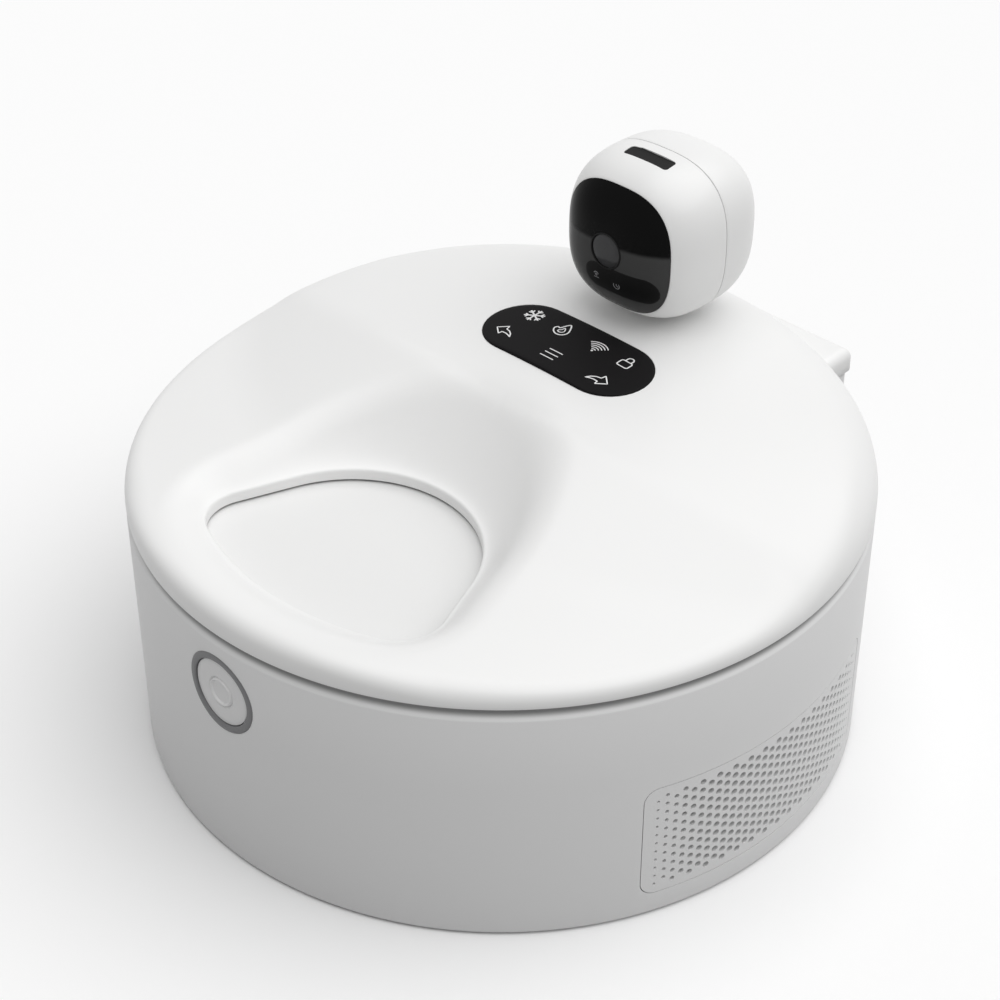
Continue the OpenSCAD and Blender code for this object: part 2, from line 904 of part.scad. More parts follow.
module fan_frame() {
    strut_in = fan_hub_r - fan_hub_gap - strut_bite;
    color(dark)
        translate([0, cool_y, fan_low])
            union() {
                difference() {
                    linear_extrude(fan_t)
                        rounded_rect(fan_w, fan_w, fan_corner_r);
                    translate([0, 0, -eps])
                        cylinder(r = fan_duct_r, h = fan_t + 2 * eps);
                }
                cylinder(r = fan_hub_r - fan_hub_gap, h = strut_t);
                for (a = [45:90:315])
                    rotate([0, 0, a])
                        translate([strut_in, -strut_w / 2, 0])
                            cube([fan_duct_r + strut_bite - strut_in, strut_w, strut_t]);
                cylinder(r = fan_pin_r, h = fan_t - fan_pin_drop);
            }
}

module fan_rotor() {
    low = strut_t + run_gap;
    rotor_h = fan_t - low - rotor_drop;
    color(dark)
        translate([0, cool_y, fan_low + low])
            difference() {
                union() {
                    cylinder(r = fan_hub_r, h = rotor_h);
                    intersection() {
                        for (i = [0:blade_count - 1])
                            rotate([0, 0, i * 360 / blade_count])
                                translate([fan_hub_r - blade_bite, 0, rotor_h / 2])
                                    rotate([blade_tilt, 0, 0])
                                        translate([0, -blade_chord / 2, -blade_t / 2])
                                            cube([fan_duct_r, blade_chord, blade_t]);
                        cylinder(r = fan_duct_r - blade_tip_gap, h = rotor_h);
                    }
                }
                translate([0, 0, -eps])
                    cylinder(r = fan_pin_r + shaft_play, h = fan_t);
            }
}

// One side vent's insert, on the right
module vent_grille() {
    rows = floor((vent_high - vent_low) / vent_row_pitch) - 2;
    step = (2 * vent_half_angle - vent_margin_angle) / (2 * vent_columns);
    difference() {
        intersection() {
            ring(body_r - grille_recess, in_r + slip_gap, vent_low, vent_high - vent_low);
            vent_window(slip_gap);
        }
        for (i = [0:rows], j = [-vent_columns:vent_columns])
            if ((i + j) % 2 == 0)
                rotate([0, 0, j * step])
                    translate([in_r - eps, 0, vent_mid + (i - rows / 2) * vent_row_pitch])
                        rotate([0, 90, 0])
                            cylinder(r = vent_hole_r, h = wall + 2 * eps, $fn = 24);
    }
}

module vent_grille_right() {
    color(pale_grey)
        vent_grille();
}

module vent_grille_left() {
    color(pale_grey)
        mirror([1, 0, 0])
            vent_grille();
}

// Pieces of the drive
module spindle_bush() {
    color(steel)
        difference() {
            union() {
                translate([0, 0, floor_low - bush_below])
                    cylinder(r = bush_body_r, h = bush_below + chamber_t + eps);
                translate([0, 0, floor_top])
                    cylinder(r = bush_body_r + bush_flange_w, h = bush_flange_t);
            }
            cylinder(r = spindle_r + shaft_play, h = far);
        }
}

module gear_motor() {
    color(steel)
        translate([drive_x, 0, 0])
            difference() {
                union() {
                    translate([0, 0, motor_low])
                        cylinder(r = motor_r, h = gearbox_low - motor_low + eps);
                    translate([0, 0, gearbox_low])
                        cylinder(r = gearbox_r, h = gearbox_h);
                }
                translate([0, 0, gearbox_low + shaft_seat])
                    cylinder(r = motor_shaft_r + shaft_play, h = far);
            }
}

module motor_shaft() {
    low = gearbox_low + shaft_seat + run_gap;
    color(steel)
        translate([drive_x, 0, low])
            cylinder(r = motor_shaft_r, h = gear_top - low);
}

module drive_pinion() {
    color(white)
        translate([drive_x, 0, gear_low])
            rotate([0, 0, 180 / pinion_teeth])
                linear_extrude(gear_t)
                    gear_outline(pinion_teeth, gear_module, motor_shaft_r);
}

module drive_gear() {
    color(white)
        translate([0, 0, gear_low])
            linear_extrude(gear_t)
                rotate(180)
                    gear_outline(gear_teeth, gear_module, spindle_r);
}

module drive_spindle() {
    color(steel)
        translate([0, 0, gear_low])
            cylinder(r = spindle_r, h = tray_low - gear_low);
}

// Pegs that turn the tray with the turntable, and their sockets when grown
module drive_pegs(grow) {
    for (i = [0:peg_count - 1])
        rotate([0, 0, (i + 0.5) * 360 / peg_count])
            translate([hub_r - peg_inset, 0, tray_low - eps])
                cylinder(r = peg_r + grow, h = peg_h + grow + eps);
}

module turntable() {
    color(pale_grey)
        difference() {
            union() {
                translate([0, 0, turntable_low])
                    cylinder(r = turntable_r, h = turntable_t);
                drive_pegs(0);
            }
            cylinder(r = spindle_r, h = far);
        }
}

// Flat outline of one sector of the tray, shrunk by d, centred on -Y
module tray_sector(d) {
    half = 180 / (well_count + 1);
    side = 2 * tray_r * sin(half);
    front = -2 * tray_r * cos(half);
    intersection() {
        difference() {
            circle(tray_r - tray_rim_w - d);
            circle(hub_r + web_half + d);
        }
        translate([0, -(web_half + d) / sin(half)])
            polygon([[0, 0], [-side, front], [side, front]]);
    }
}

// Tray sector with rounded corners
module soft_sector(d) {
    offset(r = well_corner_r - d, $fn = 48)
        tray_sector(well_corner_r);
}

// A child at each food well, turned from the blank dish
module well_places() {
    for (i = [1:well_count])
        rotate([0, 0, i * 360 / (well_count + 1)])
            children();
}

module food_tray() {
    color(white)
        difference() {
            union() {
                translate([0, 0, tray_top - tray_t])
                    cylinder(r = tray_r, h = tray_t);
                translate([0, 0, tray_top - tray_t - dish_depth])
                    linear_extrude(dish_depth + tray_t / 2)
                        soft_sector(0);
                well_places()
                    translate([0, 0, tray_low])
                        linear_extrude(tray_h - tray_t / 2)
                            soft_sector(0);
                translate([0, 0, tray_low])
                    cylinder(r = hub_r, h = tray_h);
            }
            well_places()
                translate([0, 0, tray_low + tray_t])
                    linear_extrude(tray_h)
                        soft_sector(tray_t);
            translate([0, 0, tray_top - dish_depth])
                linear_extrude(tray_t + dish_depth)
                    soft_sector(tray_t);
            drive_pegs(slip_gap);
            translate([0, 0, tray_top - grip_depth])
                difference() {
                    cylinder(r = hub_r - grip_rim, h = grip_depth + eps);
                    translate([-grip_bar / 2, -hub_r, -eps])
                        cube([grip_bar, 2 * hub_r, grip_depth + 3 * eps]);
                }
        }
}

// Electrics of the base
module main_board() {
    chip = 16;
    chip_x = -30;
    chip_h = 2.2;
    can_r = 5;
    can_h = 13;
    can_x = 22;
    can_pitch = 12;
    plug_w = 14;
    plug_d = 7;
    plug_h = 7;
    plug_pitch = 20;
    color(board_green)
        translate([0, -board_y, board_z])
            union() {
                translate([-board_w / 2, -board_d / 2, 0])
                    cube([board_w, board_d, board_t]);
                translate([chip_x, -chip / 2, board_t / 2])
                    cube([chip, chip, chip_h]);
                for (i = [0, 1])
                    translate([can_x + i * can_pitch, 0, board_t / 2])
                        cylinder(r = can_r, h = can_h);
                for (i = [-1:1])
                    translate([i * plug_pitch - plug_w / 2, board_d / 2 - board_t - plug_d, board_t / 2])
                        cube([plug_w, plug_d, plug_h]);
            }
}

module power_jack() {
    color(dark)
        translate([0, 0, jack_z])
            difference() {
                union() {
                    translate([-jack_body_w / 2, in_r - jack_seat_gap - jack_body_d, -jack_body_h / 2])
                        cube([jack_body_w, jack_body_d, jack_body_h]);
                    along_y(jack_nose_r, in_r - jack_seat_gap - eps, jack_seat_gap + eps + wall + jack_proud);
                }
                difference() {
                    along_y(jack_hole_r, in_r - jack_hole_depth, far);
                    along_y(jack_pin_r, in_r - jack_hole_depth - eps, jack_hole_depth + eps);
                }
            }
}

// Release button, its bezel and the latch
module button_bezel() {
    flange_front = bezel_back + bezel_flange_t;
    pad_half = latch_half + latch_pad_side;
    color(mid_grey)
        translate([0, 0, button_z])
            difference() {
                union() {
                    intersection() {
                        along_y(bezel_r, -body_r - eps, body_r + eps - bezel_back);
                        translate([0, 0, -bezel_r])
                            cylinder(r = body_r + bezel_proud, h = 2 * bezel_r, $fn = round_fn);
                    }
                    along_y(bezel_flange_r, -flange_front, bezel_flange_t);
                    translate([-pad_half, -flange_front, latch_low - button_z])
                        cube([2 * pad_half, flange_front - latch_front, latch_pad_h]);
                    translate([-pad_half, -flange_front, latch_low - button_z])
                        cube([2 * pad_half, bezel_flange_t, button_z - latch_low - bezel_r]);
                }
                along_y(button_r + button_gap, -body_r - 2 * eps, far);
                translate([-far, -flange_front, striker_low - run_gap - button_z])
                    cube([2 * far, far, far]);
            }
}

module release_button() {
    color(pale_grey)
        translate([0, 0, button_z])
            union() {
                difference() {
                    intersection() {
                        along_y(button_r, -body_r, body_r - bezel_back + button_gap);
                        translate([0, 0, -button_r])
                            cylinder(r = button_face, h = 2 * button_r, $fn = round_fn);
                    }
                    difference() {
                        along_y(dimple_r, -body_r - eps, button_recess + dimple_depth + eps);
                        along_y(dimple_r - dimple_w, -body_r - 2 * eps, button_recess + dimple_depth + 3 * eps);
                    }
                }
                along_y(button_r + button_flange_w, -bezel_back + button_gap, button_flange_t);
                along_y(stem_r, -bezel_back, bezel_back - stem_back);
            }
}

module latch_arm() {
    color(mid_grey)
        union() {
            translate([-latch_half, -latch_front, latch_low])
                cube([2 * latch_half, latch_t, latch_top - latch_low]);
            translate([-latch_half, -latch_front - latch_nose, latch_nose_z])
                cube([2 * latch_half, latch_nose + latch_t / 2, latch_nose_h]);
        }
}

module hinge_pins() {
    color(steel)
        for (s = [-1, 1])
            translate([s * knuckle_x, hinge_y, hinge_z])
                along_x(hinge_pin_r, 0, knuckle_len + 2 * run_gap + 2 * base_knuckle_len);
}

// Pieces of the lid
module lid_shell() {
    color(white)
        difference() {
            union() {
                difference() {
                    lid_envelope(0);
                    difference() {
                        lid_envelope(lid_t);
                        bowl_solid(lid_t);
                    }
                }
                intersection() {
                    lid_envelope(lid_t / 2);
                    union() {
                        translate([0, 0, liner_top])
                            corner_places(lid_screw_x, lid_screw_y)
                                cylinder(r = lid_boss_r, h = far);
                        translate([0, panel_y, panel_low - panel_seat_t])
                            linear_extrude(far)
                                stadium(panel_len + 2 * panel_seat_w, panel_w + 2 * panel_seat_w);
                    }
                }
                opening_solid(lip_low, lid_t, bowl_z + lid_t, lid_t);
            }
            bowl_solid(0);
            opening_solid(lip_low - eps, 0, bowl_z + eps, 0);
            difference() {
                translate([-far, -far, 0])
                    cube([2 * far, 2 * far, lid_low]);
                opening_solid(lip_low, lid_t, bowl_z, lid_t);
            }
            translate([0, panel_y, panel_low])
                linear_extrude(far)
                    stadium(panel_len + 2 * slip_gap, panel_w + 2 * slip_gap);
            translate([0, panel_y, 0])
                linear_extrude(far)
                    stadium(panel_len - 2 * panel_lip, panel_w - 2 * panel_lip);
            translate([0, cam_y, foot_seat_z - eps])
                cylinder(r = foot_disc_r, h = far);
            corner_places(lid_screw_x, lid_screw_y)
                cylinder(r = lid_screw_r + push_gap, h = liner_top + lid_boss_hole);
            hinge_tongues(slip_gap);
        }
}

// Tongues that carry the hinge cover through the lid's rear wall
module hinge_tongues(grow) {
    for (s = [-1, 1])
        translate([s * tongue_x - tongue_w / 2 - grow, in_r - tongue_in, liner_top - grow])
            cube([tongue_w + 2 * grow, tongue_in + wall + tongue_out, tongue_h + 2 * grow]);
}

module hinge_cover() {
    color(white)
        difference() {
            union() {
                difference() {
                    union() {
                        hump_sweep(hump_half_w, hump_y, lid_low, lid_low + hump_h, hump_top_r);
                        lid_knuckles(knuckle_r, 0);
                    }
                    cylinder(r = body_r + slip_gap, h = far, $fn = round_fn);
                }
                hinge_tongues(0);
            }
            base_knuckles(knuckle_r + run_gap, run_gap);
            lid_knuckles(hinge_pin_r + shaft_play, eps);
        }
}

module lid_liner() {
    color(white)
        difference() {
            translate([0, 0, liner_low])
                cylinder(r = body_r - lid_t - slip_gap, h = liner_t);
            opening_solid(liner_low - eps, lid_t + slip_gap, liner_top + eps, lid_t + slip_gap);
            corner_places(lid_screw_x, lid_screw_y)
                cylinder(r = lid_screw_r + slip_gap, h = far);
            translate([-striker_half - slip_gap, -striker_front - slip_gap, 0])
                cube([2 * (striker_half + slip_gap), striker_t + 2 * slip_gap, far]);
        }
}

module lid_seal() {
    low = flange_top + seal_gap;
    color(foam_grey)
        ring(chamber_out_r, chamber_in_r, low, liner_low - low);
}

module lid_screws() {
    color(steel)
        corner_places(lid_screw_x, lid_screw_y)
            union() {
                translate([0, 0, liner_low - lid_screw_head_h])
                    cylinder(r = lid_screw_head_r, h = lid_screw_head_h);
                translate([0, 0, liner_low - lid_screw_head_h / 2])
                    cylinder(r = lid_screw_r, h = lid_screw_len);
            }
}

module lid_striker() {
    color(mid_grey)
        union() {
            translate([-striker_half, -striker_front, striker_low])
                cube([2 * striker_half, striker_t, liner_top + striker_t - striker_low]);
            translate([-striker_half, -striker_front, striker_low])
                cube([2 * striker_half, striker_t + striker_ledge, striker_t]);
            translate([-striker_half - striker_plate_side, -striker_front, liner_top])
                cube([2 * (striker_half + striker_plate_side), striker_plate_d, striker_t]);
        }
}

module control_panel() {
    color(dark)
        intersection() {
            translate([0, panel_y, panel_low])
                linear_extrude(far)
                    stadium(panel_len, panel_w);
            dome_solid(0);
        }
}

module panel_board() {
    inset = panel_lip + slip_gap;
    color(board_green)
        translate([0, panel_y, panel_low - board_t])
            linear_extrude(board_t)
                stadium(panel_len - 2 * inset, panel_w - 2 * inset);
}

// Camera on its swivel
module camera_foot() {
    color(white)
        translate([0, cam_y, 0])
            union() {
                translate([0, 0, foot_seat_z])
                    cylinder(r = foot_disc_r, h = foot_top - foot_seat_z);
                translate([0, 0, foot_top - eps])
                    cylinder(r = swivel_r, h = swivel_h + eps);
            }
}

module camera_neck() {
    low = foot_top + run_gap;
    collar_low = cam_low + cam_t;
    color(white)
        translate([0, cam_y, 0])
            difference() {
                union() {
                    translate([0, 0, low])
                        cylinder(r = neck_r, h = collar_low + neck_step - low);
                    translate([0, 0, collar_low])
                        cylinder(r = swivel_r + collar_wall, h = swivel_h);
                }
                translate([0, 0, low - eps])
                    cylinder(r = swivel_r + shaft_play, h = far);
            }
}

// Rounded block of the camera, t inside the surface
module camera_block(t) {
    w = cam_w - 2 * t;
    d = cam_d - 2 * t;
    r = cam_edge_r - t;
    translate([0, cam_y, cam_z])
        intersection() {
            translate([0, 0, -w / 2])
                linear_extrude(w)
                    rounded_rect(w, d, r);
            rotate([90, 0, 0])
                translate([0, 0, -d / 2])
                    linear_extrude(d)
                        rounded_rect(w, w, r);
            rotate([90, 0, 90])
                translate([0, 0, -w / 2])
                    linear_extrude(w)
                        rounded_rect(d, w, r);
            sphere(cam_corner_r - t);
        }
}

module camera_hollow() {
    difference() {
        camera_block(0);
        camera_block(cam_t);
    }
}

// Front window's outline, swept along Y from the front face
module window_sweep(grow) {
    side = window_w + 2 * grow;
    translate([0, cam_front - eps, cam_z])
        rotate([-90, 0, 0])
            linear_extrude(window_depth + eps)
                rounded_rect(side, side, window_corner_r + grow);
}

// Hole for the neck in the camera's underside
module neck_hole() {
    translate([0, cam_y, 0])
        cylinder(r = neck_r + slip_gap, h = cam_z);
}

module camera_front_shell() {
    color(white)
        difference() {
            camera_hollow();
            translate([-far, cam_y + cam_split, 0])
                cube([2 * far, far, far]);
            window_sweep(slip_gap);
            neck_hole();
            slot_cap_place(slip_gap);
        }
}

module camera_rear_shell() {
    color(white)
        difference() {
            camera_hollow();
            translate([-far, cam_y + cam_split - far, 0])
                cube([2 * far, far, far]);
            neck_hole();
        }
}

module camera_window() {
    color(dark)
        difference() {
            intersection() {
                camera_hollow();
                window_sweep(0);
            }
            translate([0, 0, cam_z + lens_dz])
                along_y(lens_ring_r, cam_front - eps, cam_d / 2);
        }
}

module lens_ring() {
    ring_len = cam_board_depth - lens_ring_recess;
    color(mid_grey)
        translate([0, 0, cam_z + lens_dz])
            difference() {
                along_y(lens_ring_r - push_gap, cam_front + lens_ring_recess, ring_len);
                along_y(lens_r, cam_front - eps, lens_seat + eps);
            }
}

module camera_lens() {
    color(dark)
        translate([0, 0, cam_z + lens_dz])
            intersection() {
                along_y(lens_r - push_gap, cam_front, lens_seat);
                translate([0, cam_front + lens_recess + lens_dome_r, 0])
                    sphere(lens_dome_r);
            }
}

// Slot insert on the camera's top, near its front
module slot_cap_place(grow) {
    translate([0, cam_y - slot_dy, cam_z + cam_w / 2 - slot_depth])
        linear_extrude(far)
            stadium(slot_len + 2 * grow, slot_w + 2 * grow);
}

module camera_slot_cap() {
    color(dark)
        intersection() {
            camera_block(slip_gap);
            slot_cap_place(0);
        }
}

module camera_board() {
    color(board_green)
        translate([-cam_board_w / 2, cam_front + cam_board_depth, cam_z - cam_board_w / 2])
            cube([cam_board_w, board_t, cam_board_w]);
}

outer_housing();
bottom_cover();
rubber_feet();
base_screws();
cold_chamber();
insulation_ring();
cold_plate();
peltier_module();
heat_sink();
fan_frame();
fan_rotor();
vent_grille_right();
vent_grille_left();
spindle_bush();
gear_motor();
motor_shaft();
drive_pinion();
drive_gear();
drive_spindle();
turntable();
food_tray();
main_board();
power_jack();
button_bezel();
release_button();
latch_arm();
hinge_pins();
lid_shell();
hinge_cover();
lid_liner();
lid_seal();
lid_screws();
lid_striker();
control_panel();
panel_board();
camera_foot();
camera_neck();
camera_front_shell();
camera_rear_shell();
camera_window();
lens_ring();
camera_lens();
camera_slot_cap();
camera_board();
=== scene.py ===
"""Looks of an automatic wet food feeder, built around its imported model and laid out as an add-on."""
import json
import math

import bmesh
import bpy
import numpy as np
from bpy.props import FloatProperty, FloatVectorProperty, PointerProperty
from mathutils import Matrix, Vector


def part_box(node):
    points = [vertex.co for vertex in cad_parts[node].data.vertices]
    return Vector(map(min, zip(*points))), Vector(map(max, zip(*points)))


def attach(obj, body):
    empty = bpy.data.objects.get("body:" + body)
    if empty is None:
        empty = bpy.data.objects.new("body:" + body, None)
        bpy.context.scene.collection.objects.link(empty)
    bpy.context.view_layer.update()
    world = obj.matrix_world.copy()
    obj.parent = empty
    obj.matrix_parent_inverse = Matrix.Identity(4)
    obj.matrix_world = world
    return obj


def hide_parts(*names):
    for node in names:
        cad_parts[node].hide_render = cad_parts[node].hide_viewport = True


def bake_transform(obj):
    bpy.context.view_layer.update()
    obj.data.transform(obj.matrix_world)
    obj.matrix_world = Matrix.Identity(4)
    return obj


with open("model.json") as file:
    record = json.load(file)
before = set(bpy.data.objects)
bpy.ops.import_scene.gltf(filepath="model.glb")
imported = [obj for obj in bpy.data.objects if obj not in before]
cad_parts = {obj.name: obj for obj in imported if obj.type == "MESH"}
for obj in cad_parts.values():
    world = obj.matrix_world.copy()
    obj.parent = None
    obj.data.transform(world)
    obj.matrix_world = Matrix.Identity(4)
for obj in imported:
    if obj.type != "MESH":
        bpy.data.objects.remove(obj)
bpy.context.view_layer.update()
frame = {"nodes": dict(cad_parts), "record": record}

bl_info = {
    "name": "Wet food feeder",
    "version": (1, 0, 0),
    "blender": (4, 5, 0),
    "location": "3D View > Sidebar > Feeder",
    "description": "Builds the visible pieces of an automatic wet food feeder on its packed frame",
    "category": "Object",
}

# Sizes in millimetres, most of them repeated from the part's source
MM = 0.001
BODY_R = 160.0
WALL = 3.0
RIM_Z = 118.5
SKIRT_LOW = 1.0
LID_LOW = 119.6
LID_T = 2.5
LIP_LOW = 118.1
BOWL_Z = 123.5
DOME = (60.0, 160.0, 834.0)
SIDE_R = 540.0
RAMP_R = 480.0
CREASE_Y = -4.0
RAMP_SLOPE = math.radians(14.0)
DECK_Z = 131.0
DECK_SLOPE = math.radians(5.0)
EDGE = (73.0, 39.5, 121.5)
OPENING_FRONT_R = 130.5
OPENING_REAR = (56.0, -91.0)
OPENING_CORNER = (19.0, 44.0)
TRAY_R = 129.0
DISH_FLOOR = 113.6
HINGE_Y = 166.0
HINGE_Z = 119.05
KNUCKLE_R = 4.5
KNUCKLE_GAP = 0.4
PIN_R = 1.8
LID_KNUCKLES = ((-37.0, 13.0), (37.0, 13.0))
BASE_KNUCKLES = ((-48.9, 10.0), (-25.1, 10.0), (25.1, 10.0), (48.9, 10.0))
HUMP_HALF_W = 62.0
HUMP_TOP = 131.1
BUTTON_Z = 89.5
BUTTON_R = 15.1
BEZEL_R = 18.5
STEM_R = 4.0
STEM_BACK = 149.0
DIMPLE_R = 6.4
VENT_HALF_ANGLE = math.radians(25.5)
VENT_LOW = 11.5
VENT_HIGH = 69.0
VENT_CORNER_R = 7.0
PANEL_AT = np.array((-1.5, 42.5))
PANEL_SIZE = (87.0, 39.0)
HEAD = np.array((0.0, 100.0, 197.2))
HEAD_HALF = np.array((36.5, 36.5, 36.5))
HEAD_POWER = 2.75
HEAD_WALL = 2.2
HEAD_GAP = 0.12
HEAD_FRONT = HEAD_HALF[1] - HEAD[1]
WINDOW_DY = -27.7
LENS_DZ = 1.0
SLOT_SIZE = (24.0, 7.2)
SLOT_DY = -9.8
FOOT_DISC_R = 15.0
NECK_R = 13.0
JACK_Z = 30.0
JACK_R = 5.5

# Both ends of a row of rings, for caps
ENDS = (0, -1)


def length_property(name, description, default, low, high):
    return FloatProperty(name=name, description=description, default=default, min=low, max=high,
                         precision=5, unit="LENGTH")


def colour_property(name, description, default):
    return FloatVectorProperty(name=name, description=description, default=default, size=3,
                               min=0.0, max=1.0, subtype="COLOR")


class FeederSizes(bpy.types.PropertyGroup):
    """Sizes that shape the visible pieces."""

    crease_soft: length_property(
        "Crease softness", "Blend of the dome into the ramp in front of it", 0.0012, 0.0002, 0.005)
    rim_soft: length_property(
        "Rim softness", "Blend of the front deck into the lid's side", 0.0045, 0.002, 0.02)
    side_soft: length_property(
        "Side softness", "Blend of the deck's sides into the lid's shoulder", 0.014, 0.002, 0.02)
    bowl_soft: length_property(
        "Bowl softness", "Blend of the lid's top into the bowl round the opening", 0.009, 0.002, 0.02)
    vent_column: length_property(
        "Vent column pitch", "Distance between columns of vent holes", 0.00405, 0.003, 0.006)
    vent_row: length_property(
        "Vent row pitch", "Distance between vent holes in a column", 0.0045, 0.0036, 0.006)
    vent_hole_mid: length_property(
        "Middle hole radius", "Radius of the vent holes in the middle columns", 0.0016, 0.0005, 0.0019)
    vent_hole_edge: length_property(
        "End hole radius", "Radius of the vent holes in the end columns", 0.00065, 0.0003, 0.0015)
    symbol_stroke: length_property(
        "Symbol stroke", "Width of the panel's printed lines", 0.0005, 0.0003, 0.0015)


class FeederColours(bpy.types.PropertyGroup):
    """Colours of the visible finishes."""

    lid: colour_property("Lid", "Satin white of the lid and camera", (0.86, 0.86, 0.855))
    base: colour_property("Base", "Fine-grained white of the base", (0.80, 0.80, 0.80))
    inner: colour_property("Inner", "White of the chamber and liner", (0.82, 0.82, 0.81))
    tray: colour_property("Tray", "White of the food tray", (0.80, 0.80, 0.795))
    bezel: colour_property("Bezel", "Grey of the button's bezel", (0.16, 0.16, 0.165))
    gloss: colour_property("Gloss black", "Black of the touch panel", (0.012, 0.0115, 0.012))
    symbol: colour_property("Symbols", "White of the printed symbols", (0.88, 0.88, 0.88))


# Meshes

def solid(name, points, faces, sharp=32.0):
    """Object with a merged, outward mesh from points in millimetres."""
    mesh = bpy.data.meshes.new(name)
    mesh.from_pydata((np.asarray(points, float) * MM).tolist(), [], faces)
    work = bmesh.new()
    work.from_mesh(mesh)
    bmesh.ops.remove_doubles(work, verts=work.verts, dist=1e-6)
    bmesh.ops.recalc_face_normals(work, faces=work.faces)
    work.to_mesh(mesh)
    work.free()
    piece = bpy.data.objects.new(name, mesh)
    bpy.context.scene.collection.objects.link(piece)
    shade(piece, sharp)
    return piece


def shade(piece, sharp):
    mesh = piece.data
    mesh.polygons.foreach_set("use_smooth", [True] * len(mesh.polygons))
    mesh.set_sharp_from_angle(angle=math.radians(sharp))
    mesh.update()


def skin(name, rows, loop=False, caps=(), sharp=32.0, breaks=()):
    """Closed rings of points joined row to row; caps names the ends that get a face."""
    rows = np.asarray(rows, float)
    count, around = rows.shape[:2]
    faces = []
    for row in range(count if loop else count - 1):
        if row in breaks:
            continue
        here, there = row * around, (row + 1) % count * around
        for i in range(around):
            j = (i + 1) % around
            faces.append((here + i, here + j, there + j, there + i))
    for end in caps:
        start = (count - 1) * around if end else 0
        faces.append(tuple(range(start, start + around)))
    return solid(name, rows.reshape(-1, 3), faces, sharp)


def discard(piece):
    mesh = piece.data
    bpy.data.objects.remove(piece)
    bpy.data.meshes.remove(mesh)


def carve(piece, tools, sharp, operation="DIFFERENCE"):
    """Applies a boolean with each tool in turn; the tools are used up."""
    for tool in tools:
        step = piece.modifiers.new("cut", "BOOLEAN")
        step.operation = operation
        step.solver = "MANIFOLD"
        step.object = tool
        depsgraph = bpy.context.evaluated_depsgraph_get()
        mesh = bpy.data.meshes.new_from_object(piece.evaluated_get(depsgraph))
        if not mesh.polygons:
            raise RuntimeError(f"{operation} left nothing of {piece.name}")
        piece.modifiers.clear()
        old, piece.data = piece.data, mesh
        mesh.name = piece.name
        bpy.data.meshes.remove(old)
        discard(tool)
        shade(piece, sharp)


def join(pieces):
    """One object from several, under the first one's name."""
    first = pieces[0]
    work = bmesh.new()
    for piece in pieces:
        work.from_mesh(piece.data)
    work.to_mesh(first.data)
    work.free()
    for piece in pieces[1:]:
        discard(piece)
    return first


def raised(flat, z):
    """Points of a plan at one height."""
    return np.column_stack((flat, np.full(len(flat), z)))


def prism(name, outline, low, high):
    return skin(name, [raised(outline, z) for z in (low, high)], caps=ENDS)


def ring_angles(count):
    return np.arange(count) * 2.0 * math.pi / count


def lathe(name, profile, count, place, loop=False, caps=(), sharp=32.0):
    """Turned piece: the profile's (radius, height) pairs, put in the frame by place(x, y, height)."""
    turn = ring_angles(count)
    rows = [place(r * np.cos(turn), r * np.sin(turn), np.full(count, float(h))) for r, h in profile]
    return skin(name, rows, loop, caps, sharp)


def drill(name, radius, start, stop, place, count=96):
    """Round cutter between two heights."""
    return lathe(name, [(radius, start), (radius, stop)], count, place, caps=ENDS)


def upright(cy=0.0):
    return lambda x, y, h: np.stack((x, y + cy, h), -1)


def facing_front(cz):
    """Turned about a level axis along Y, heights measured towards -Y."""
    return lambda x, y, h: np.stack((x, -h, y + cz), -1)


def rods(name, radius, knuckles, longer=0.0, bevel=0.05):
    """Bevelled rods on the hinge axis, one for each knuckle's (middle, length)."""
    made = []
    for middle, length in knuckles:
        half = (length + longer) / 2.0
        profile = [(radius - bevel, -half), (radius, bevel - half)]
        profile += [(radius, half - bevel), (radius - bevel, half)]
        made.append(lathe(
            name, profile, 64,
            lambda x, y, h: np.stack((h + middle, x + HINGE_Y, y + HINGE_Z), -1), caps=ENDS))
    return made


def fillet(cx, cy, radius, start, stop, steps):
    turn = np.radians(np.linspace(start, stop, steps + 1))
    return [(cx + radius * math.cos(a), cy + radius * math.sin(a)) for a in turn]


def seat(piece, body, slot, *nodes, look=None):
    """Gives a finished piece the finish of its look or slot and its body, and hides the nodes that it
    stands for.
    """
    piece.data.materials.clear()
    piece.data.materials.append(finish(look or slot))
    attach(piece, body)
    if nodes:
        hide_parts(*nodes)


# Flat inlays and lines that follow a surface

def stadium(length, width, inset, ends=20, sides=14):
    """Outline of a stadium along the first axis, drawn in by inset."""
    radius = width / 2.0 - inset
    half = (length - width) / 2.0
    right = np.radians(np.linspace(-90.0, 90.0, ends + 1))
    arc = np.stack((half + radius * np.cos(right), radius * np.sin(right)), -1)
    back = np.stack((np.linspace(half, -half, sides + 1)[1:-1], np.full(sides - 1, radius)), -1)
    return np.concatenate((arc, back, -arc, -back))


def inlay(name, size, centre, lift, top, depth, edge=0.3):
    """Stadium plate whose top follows a surface, by lift(u, v, height)."""
    length, width = size
    span = width / 2.0
    levels = [(0.0, -depth), (0.0, top - edge), (0.3 * edge, top - 0.3 * edge), (edge, top)]
    levels += [(edge + (span - edge) * share, top) for share in (0.08, 0.25, 0.5, 0.75, 1.0)]
    rows = [lift(*(stadium(length, width, inset) + centre).T, height) for inset, height in levels]
    return skin(name, rows, caps=(0,))


